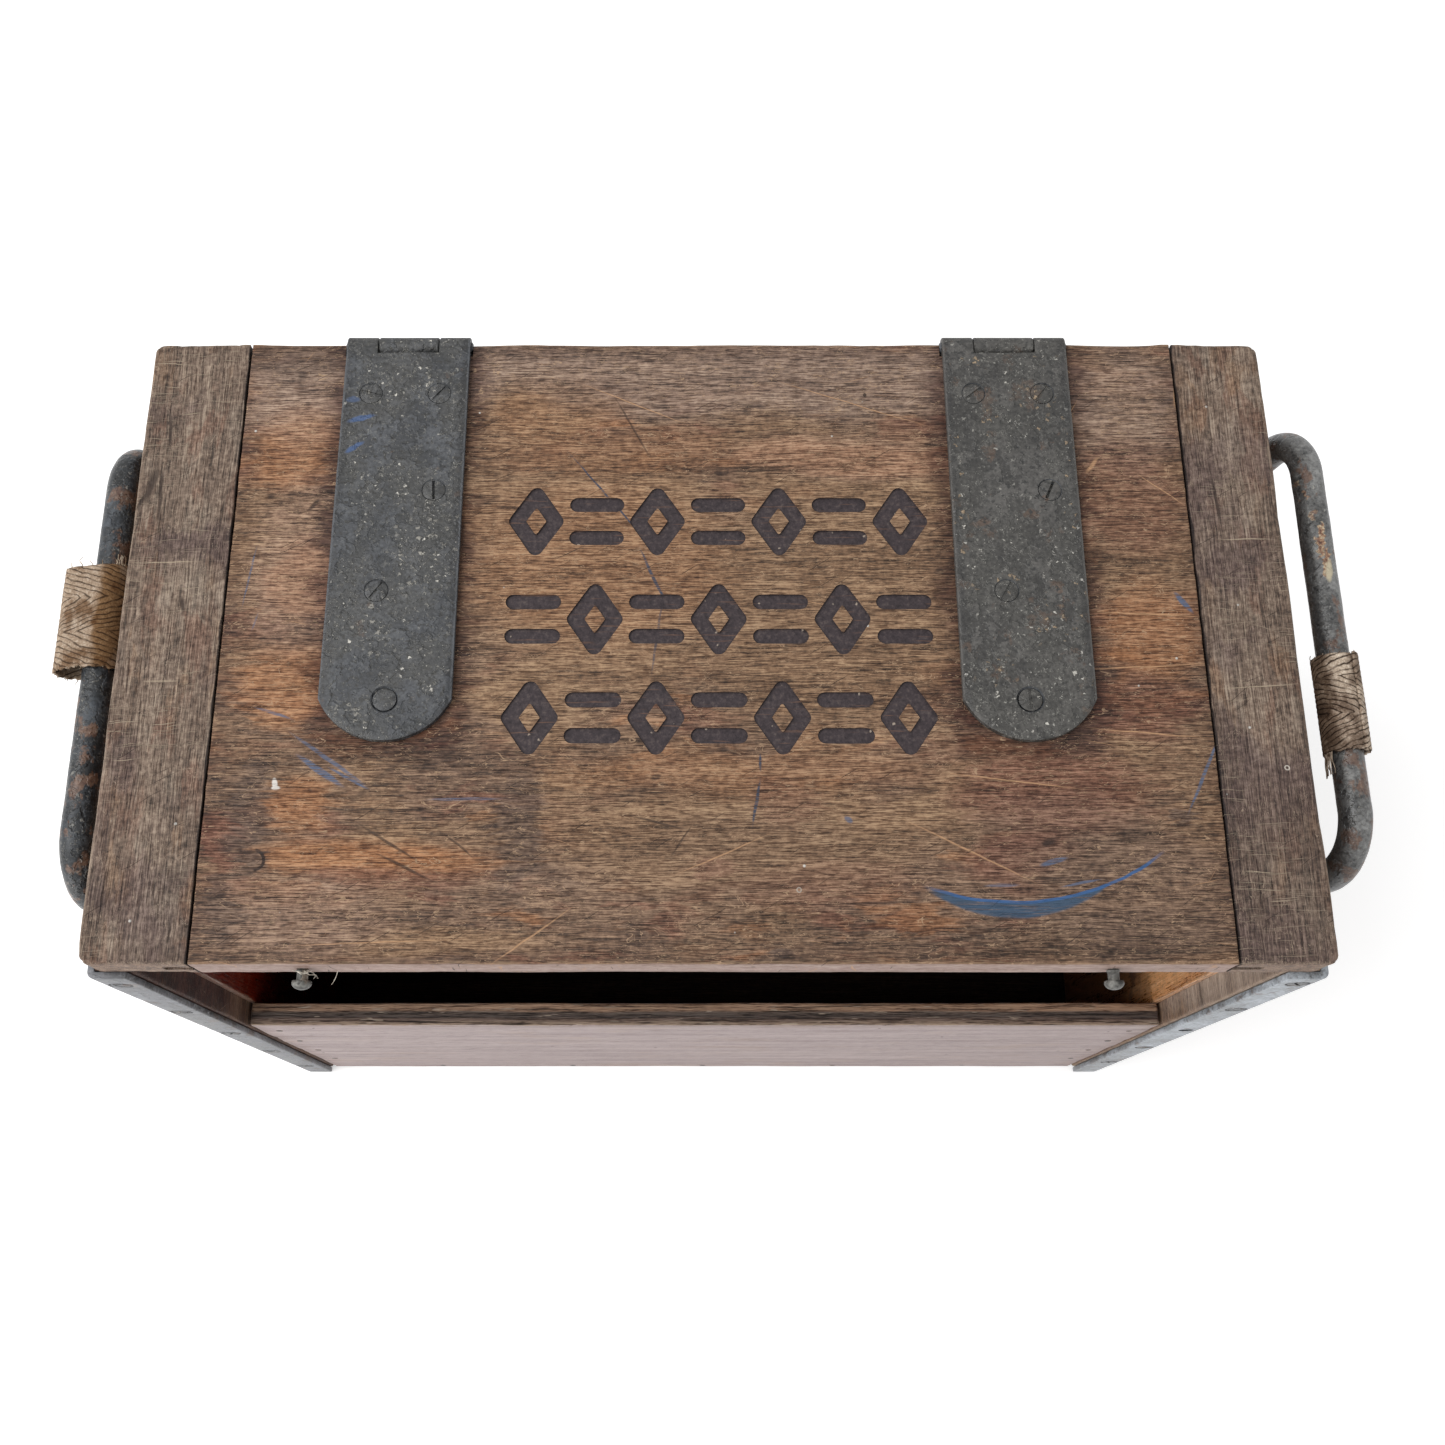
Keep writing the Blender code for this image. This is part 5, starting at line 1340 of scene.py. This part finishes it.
webFinishes = {
    "left": webFinish("webbingLeft", webLook),
    "right": webFinish("webbingRight", {
        **webLook, "cotton": (0.52, 0.415, 0.32), "dark": (0.12, 0.08, 0.055), "pale": (0.86, 0.76, 0.63),
        "gap": 0.96, "dirt": (0.45, 0.41, 0.39), "dirtRange": (0.46, 0.58), "dirtPlace": (0.1, 0.2, 0.0),
        # The second stain darkens the wrap's inner flank: dirt and painted shade
        "stains": (((0.66, 0.62, 0.6), ((250, -30, 8, 13, 0),)),
                   ((0.52, 0.47, 0.43), ((242.5, -21.5, 5, 40, 0),)))}),
}


# Threads: thin bent rods, made as one mesh
def threads(name, lines, radius, material):
    curve = bpy.data.curves.new(name, "CURVE")
    curve.dimensions = "3D"
    curve.bevel_depth = radius
    curve.bevel_resolution = 1
    curve.use_fill_caps = True
    for line in lines:
        spline = curve.splines.new("POLY")
        spline.points.add(len(line) - 1)
        for index, (point, place) in enumerate(zip(spline.points, line)):
            point.co = (*place, 1.0)
            point.radius = 1.0 - 0.6 * index / len(line)
    holder = bpy.data.objects.new(name, curve)
    mesh = bpy.data.meshes.new_from_object(holder)
    bpy.data.objects.remove(holder)
    bm = bmesh.new()
    bm.from_mesh(mesh)
    bpy.data.meshes.remove(mesh)
    bmesh.ops.remove_doubles(bm, verts=bm.verts, dist=0.000001)
    bmesh.ops.recalc_face_normals(bm, faces=bm.faces)
    return keep(name, bm, material, 60.0)


def threadFinish(name, dark, pale):
    f = Finish(name)
    tone = f.cloud(0.002, 2.0, 0.6)
    f.colour = f.ramp(tone, (0.35, dark), (0.65, pale))
    return f.done(0.92, tone, 0.0001, specular=0.15)


# Fibres caught on the left stud, from its foot: across, out and down, in millimetres
snagLook = (
    (
        (-3.4, 0.6, 2.2), (-1.6, 1.2, 3), (0.8, 1.7, 2.6), (2.6, 1.1, 2), (4.4, 1.6, 1.4), (5, 2.8, 0.6),
        (4.2, 3.4, 0.2)),
    ((-2.2, 0.8, 1.2), (0, 2.1, 2.4), (2.2, 2, 3), (3, 0.9, 2.4), (1.8, 0.6, 1.6)),
    ((1.2, 1, 2.6), (3, 2.4, 2.2), (5.2, 2.2, 1.2), (5.8, 3.4, -0.4)),
    ((11.9, 0.1, -4), (11.3, 1.6, -5.2), (10.4, 3.2, -6.2), (9.4, 4.6, -6.6)),
)
snags = [[studFoot["left"] + Vector((across, -out, up)) / 1000 for across, out, up in line]
         for line in snagLook]
snagFinish = threadFinish("snagThread", (0.35, 0.315, 0.265), (0.7, 0.65, 0.56))
assign(threads("stud_threads", snags, 0.00017, snagFinish), "lid", "webbing")


# A thread from a wrap's edge, curling away along the rod
def strand(at, look, turn, length, number):
    shaky = Vector((number * 3.7, look["seed"], 0.0))
    point, out = walk(at["line"], girth(at["line"]) * turn)
    across = Vector((-out.y, out.x))
    line = []
    for step in range(8):
        share = step / 7
        curl = noise.noise(shaky + Vector((share * 1.6, 0.0, 0.0))) * length * at["spread"] * 0.9
        rise = 0.1 + 0.5 * abs(noise.noise(shaky + Vector((0.0, 0.0, share))))
        rise = look["thick"] * 1.2 + share * length * at["spread"] * rise
        spot = point + out * rise + across * curl * share
        along = at["edge"] + at["way"] * (share * length - 0.0016)
        line.append((spot.x * at["sign"], along, bailLook["rise"] + spot.y))
    return line


# The closed line that a wrap follows round its rod, as pairs of neighbouring points
def wrapLine(look):
    circle = [Vector((math.cos(math.tau * step / 72), math.sin(math.tau * step / 72))) for step in range(72)]
    points = [direction * weave["rod"] for direction in circle]
    if look["slack"]:
        points += [Vector((look["slack"], -look["droop"])) + direction * look["loop"] for direction in circle]
        points = [points[index] for index in convex_hull_2d(points)]
    area = sum(a.x * b.y - b.x * a.y for a, b in zip(points, points[1:] + points[:1]))
    if area < 0:
        points.reverse()
    return list(zip(points, points[1:] + points[:1]))


def girth(line):
    return sum((b - a).length for a, b in line)


# The point at some length along the closed line, and the direction out of it
def walk(line, length):
    left = length % girth(line)
    for a, b in line:
        step = (b - a).length
        if left <= step:
            along = (b - a).normalized()
            return a + along * left, Vector((along.y, -along.x))
        left -= step
    return line[0][0], Vector((1.0, 0.0))


def wrap(side, sign):
    look = wrapLook[side]
    line = wrapLine(look)
    around = girth(line)
    long, width, seed = around * look["turns"], look["width"], look["seed"]
    centre = look["centre"] - joints[f"handle_{side}_swing"]["pos_m"][1]
    bm = bmesh.new()
    bmesh.ops.create_grid(bm, x_segments=round(long / weave["step"]), y_segments=round(width / weave["step"]),
                          size=0.5, calc_uvs=False)
    layer = bm.loops.layers.uv.new("weave")
    for face in bm.faces:
        for loop in face.loops:
            loop[layer].uv = ((loop.vert.co.x + 0.5) * long, (loop.vert.co.y + 0.5) * width)
    for vert in bm.verts:
        u, v = (vert.co.x + 0.5) * long, (vert.co.y + 0.5) * width
        point, out = walk(line, u + around * 0.6)
        lift = look["thick"] * (0.55 + 1.08 * u / around)
        band = weave["band"] - abs(v % (2 * weave["band"]) - weave["band"])
        ridge = abs((u + band * weave["slope"]) / weave["pitch"] % 1.0 - 0.5) * 2
        lift -= weave["ridge"] * ridge * ridge
        lift += 0.00035 * max(0.0, noise.noise(Vector((u * 60, v * 60, seed)))) * look["loose"][0]
        torn = noise.noise(Vector((u * 260, 0.0, seed))) + 0.7 * noise.noise(Vector((u * 900, 0.0, seed)))
        torn *= look["fray"] * max(0.0, 1.0 - v / 0.0035)
        bow = 0.0012 * math.sin(u / around * 5.0 + 1.0) * look["loose"][1]
        point = point + out * lift
        vert.co = (sign * point.x, centre - width / 2 + v + torn + bow, bailLook["rise"] + point.y)
    bmesh.ops.transform(bm, matrix=handleFrames[side], verts=bm.verts)
    bmesh.ops.recalc_face_normals(bm, faces=bm.faces)
    cloth = keep("webbing_" + side, bm, webFinishes[side], 60.0)
    body = cloth.modifiers.new("thickness", "SOLIDIFY")
    body.thickness = look["thick"] * 0.85
    body.offset = 0.0
    assign(cloth, "handle_" + side, "webbing", "webbing_wrap_" + side)
    strands = []
    for way, count in zip((-1, 1), look["threads"]):
        at = {"line": line, "sign": sign, "way": way, "spread": 1.0, "edge": centre + way * width / 2}
        for number in range(count):
            turn = number / count + 0.03 * noise.noise(Vector((number * 5.1, way, 0.0)))
            length = look["long"] * (0.55 + 0.9 * abs(noise.noise(Vector((number * 2.3, way, seed)))))
            strands.append(strand(at, look, turn, length, number + way * 50))
    turn, way, times, count = look["tuft"]
    at = {"line": line, "sign": sign, "way": way, "spread": 0.25, "edge": centre + way * width / 2}
    for number in range(count):
        place = turn + 0.01 * (number - count / 2)
        strands.append(strand(at, look, place, look["long"] * times, number * 0.31 + 400))
    fringe = threads("webbing_threads_" + side, strands, 0.00026, threadFinishes[side])
    fringe.data.transform(handleFrames[side])
    assign(fringe, "handle_" + side, "webbing")


threadFinishes = {"left": threadFinish("threadsLeft", (0.2, 0.135, 0.085), (0.6, 0.5, 0.39)),
                  "right": threadFinish("threadsRight", (0.09, 0.058, 0.04), (0.48, 0.38, 0.29))}
for side, sign in sides.items():
    wrap(side, sign)
print("webbing made")

# Stage, light and camera
cameraLook = {"place": (-0.0055, -0.2213, 0.9084), "down": 71.4, "focal": 1520.0, "frame": 1445.0,
              "centre": 693.0, "sensor": 36.0}
lightLook = {"sky": 0.62, "aim": (0.0, 0.0, 0.25),
             "lamps": (("key", (-1.3, -0.1, 2.1), 1.6, 36.0), ("side", (-1.5, -1.7, 0.6), 1.0, 16.0))}
floorGlow = {"pale": 0.86, "glow": 0.42, "size": 4.0, "below": 0.0004}


def makeStage():
    bm = bmesh.new()
    bmesh.ops.create_grid(bm, x_segments=1, y_segments=1, size=floorGlow["size"])
    f = Finish("paleFloor")
    path = f.add("LightPath").outputs
    seen = f.calc("MAXIMUM", path["Is Camera Ray"], path["Is Glossy Ray"])
    plain = f.add("BsdfDiffuse", {"Color": triple(floorGlow["pale"])})
    glow = f.add("Emission", {"Color": triple(1.0), "Strength": f.times(seen, floorGlow["glow"])})
    both = f.add("AddShader", {0: plain.outputs[0], 1: glow.outputs[0]})
    f.wire(f.tree.nodes["Material Output"], {"Surface": both.outputs[0]})
    floor = keep("floor", bm, f.material)
    floor.location.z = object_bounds()[0].z - floorGlow["below"]


def makeLight():
    world = bpy.data.worlds.new("studio")
    world.use_nodes = True
    tree = world.node_tree
    sky = tree.nodes["Background"].inputs
    sky["Color"].default_value = (1.0, 1.0, 1.0, 1.0)
    path = tree.nodes.new("ShaderNodeLightPath").outputs
    seen = tree.nodes.new("ShaderNodeMath")
    seen.operation = "MAXIMUM"
    tree.links.new(path["Is Camera Ray"], seen.inputs[0])
    tree.links.new(path["Is Glossy Ray"], seen.inputs[1])
    level = tree.nodes.new("ShaderNodeMapRange")
    level.inputs["To Min"].default_value = lightLook["sky"]
    tree.links.new(seen.outputs[0], level.inputs["Value"])
    tree.links.new(level.outputs[0], sky["Strength"])
    bpy.context.scene.world = world
    for name, place, size, power in lightLook["lamps"]:
        lamp = bpy.data.lights.new(name, "AREA")
        lamp.size = size
        lamp.energy = power
        holder = addPiece(name, lamp)
        holder.location = place
        aim = Vector(lightLook["aim"]) - holder.location
        holder.rotation_euler = aim.to_track_quat("-Z", "Y").to_euler()


def makeCamera():
    data = bpy.data.cameras.new("camera")
    data.sensor_width = cameraLook["sensor"]
    data.lens = cameraLook["focal"] / cameraLook["frame"] * cameraLook["sensor"]
    data.shift_x = 0.5 - cameraLook["centre"] / cameraLook["frame"]
    data.clip_start = 0.01
    camera = addPiece("camera", data)
    camera.location = cameraLook["place"]
    camera.rotation_euler = (math.radians(90.0 - cameraLook["down"]), 0.0, 0.0)
    bpy.context.scene.camera = camera


for pattern in (leafScrew, filledScrew, plainScrew, angleScrew):
    bpy.data.objects.remove(pattern)
makeStage()
makeLight()
makeCamera()
bpy.context.scene.view_settings.view_transform = "Standard"
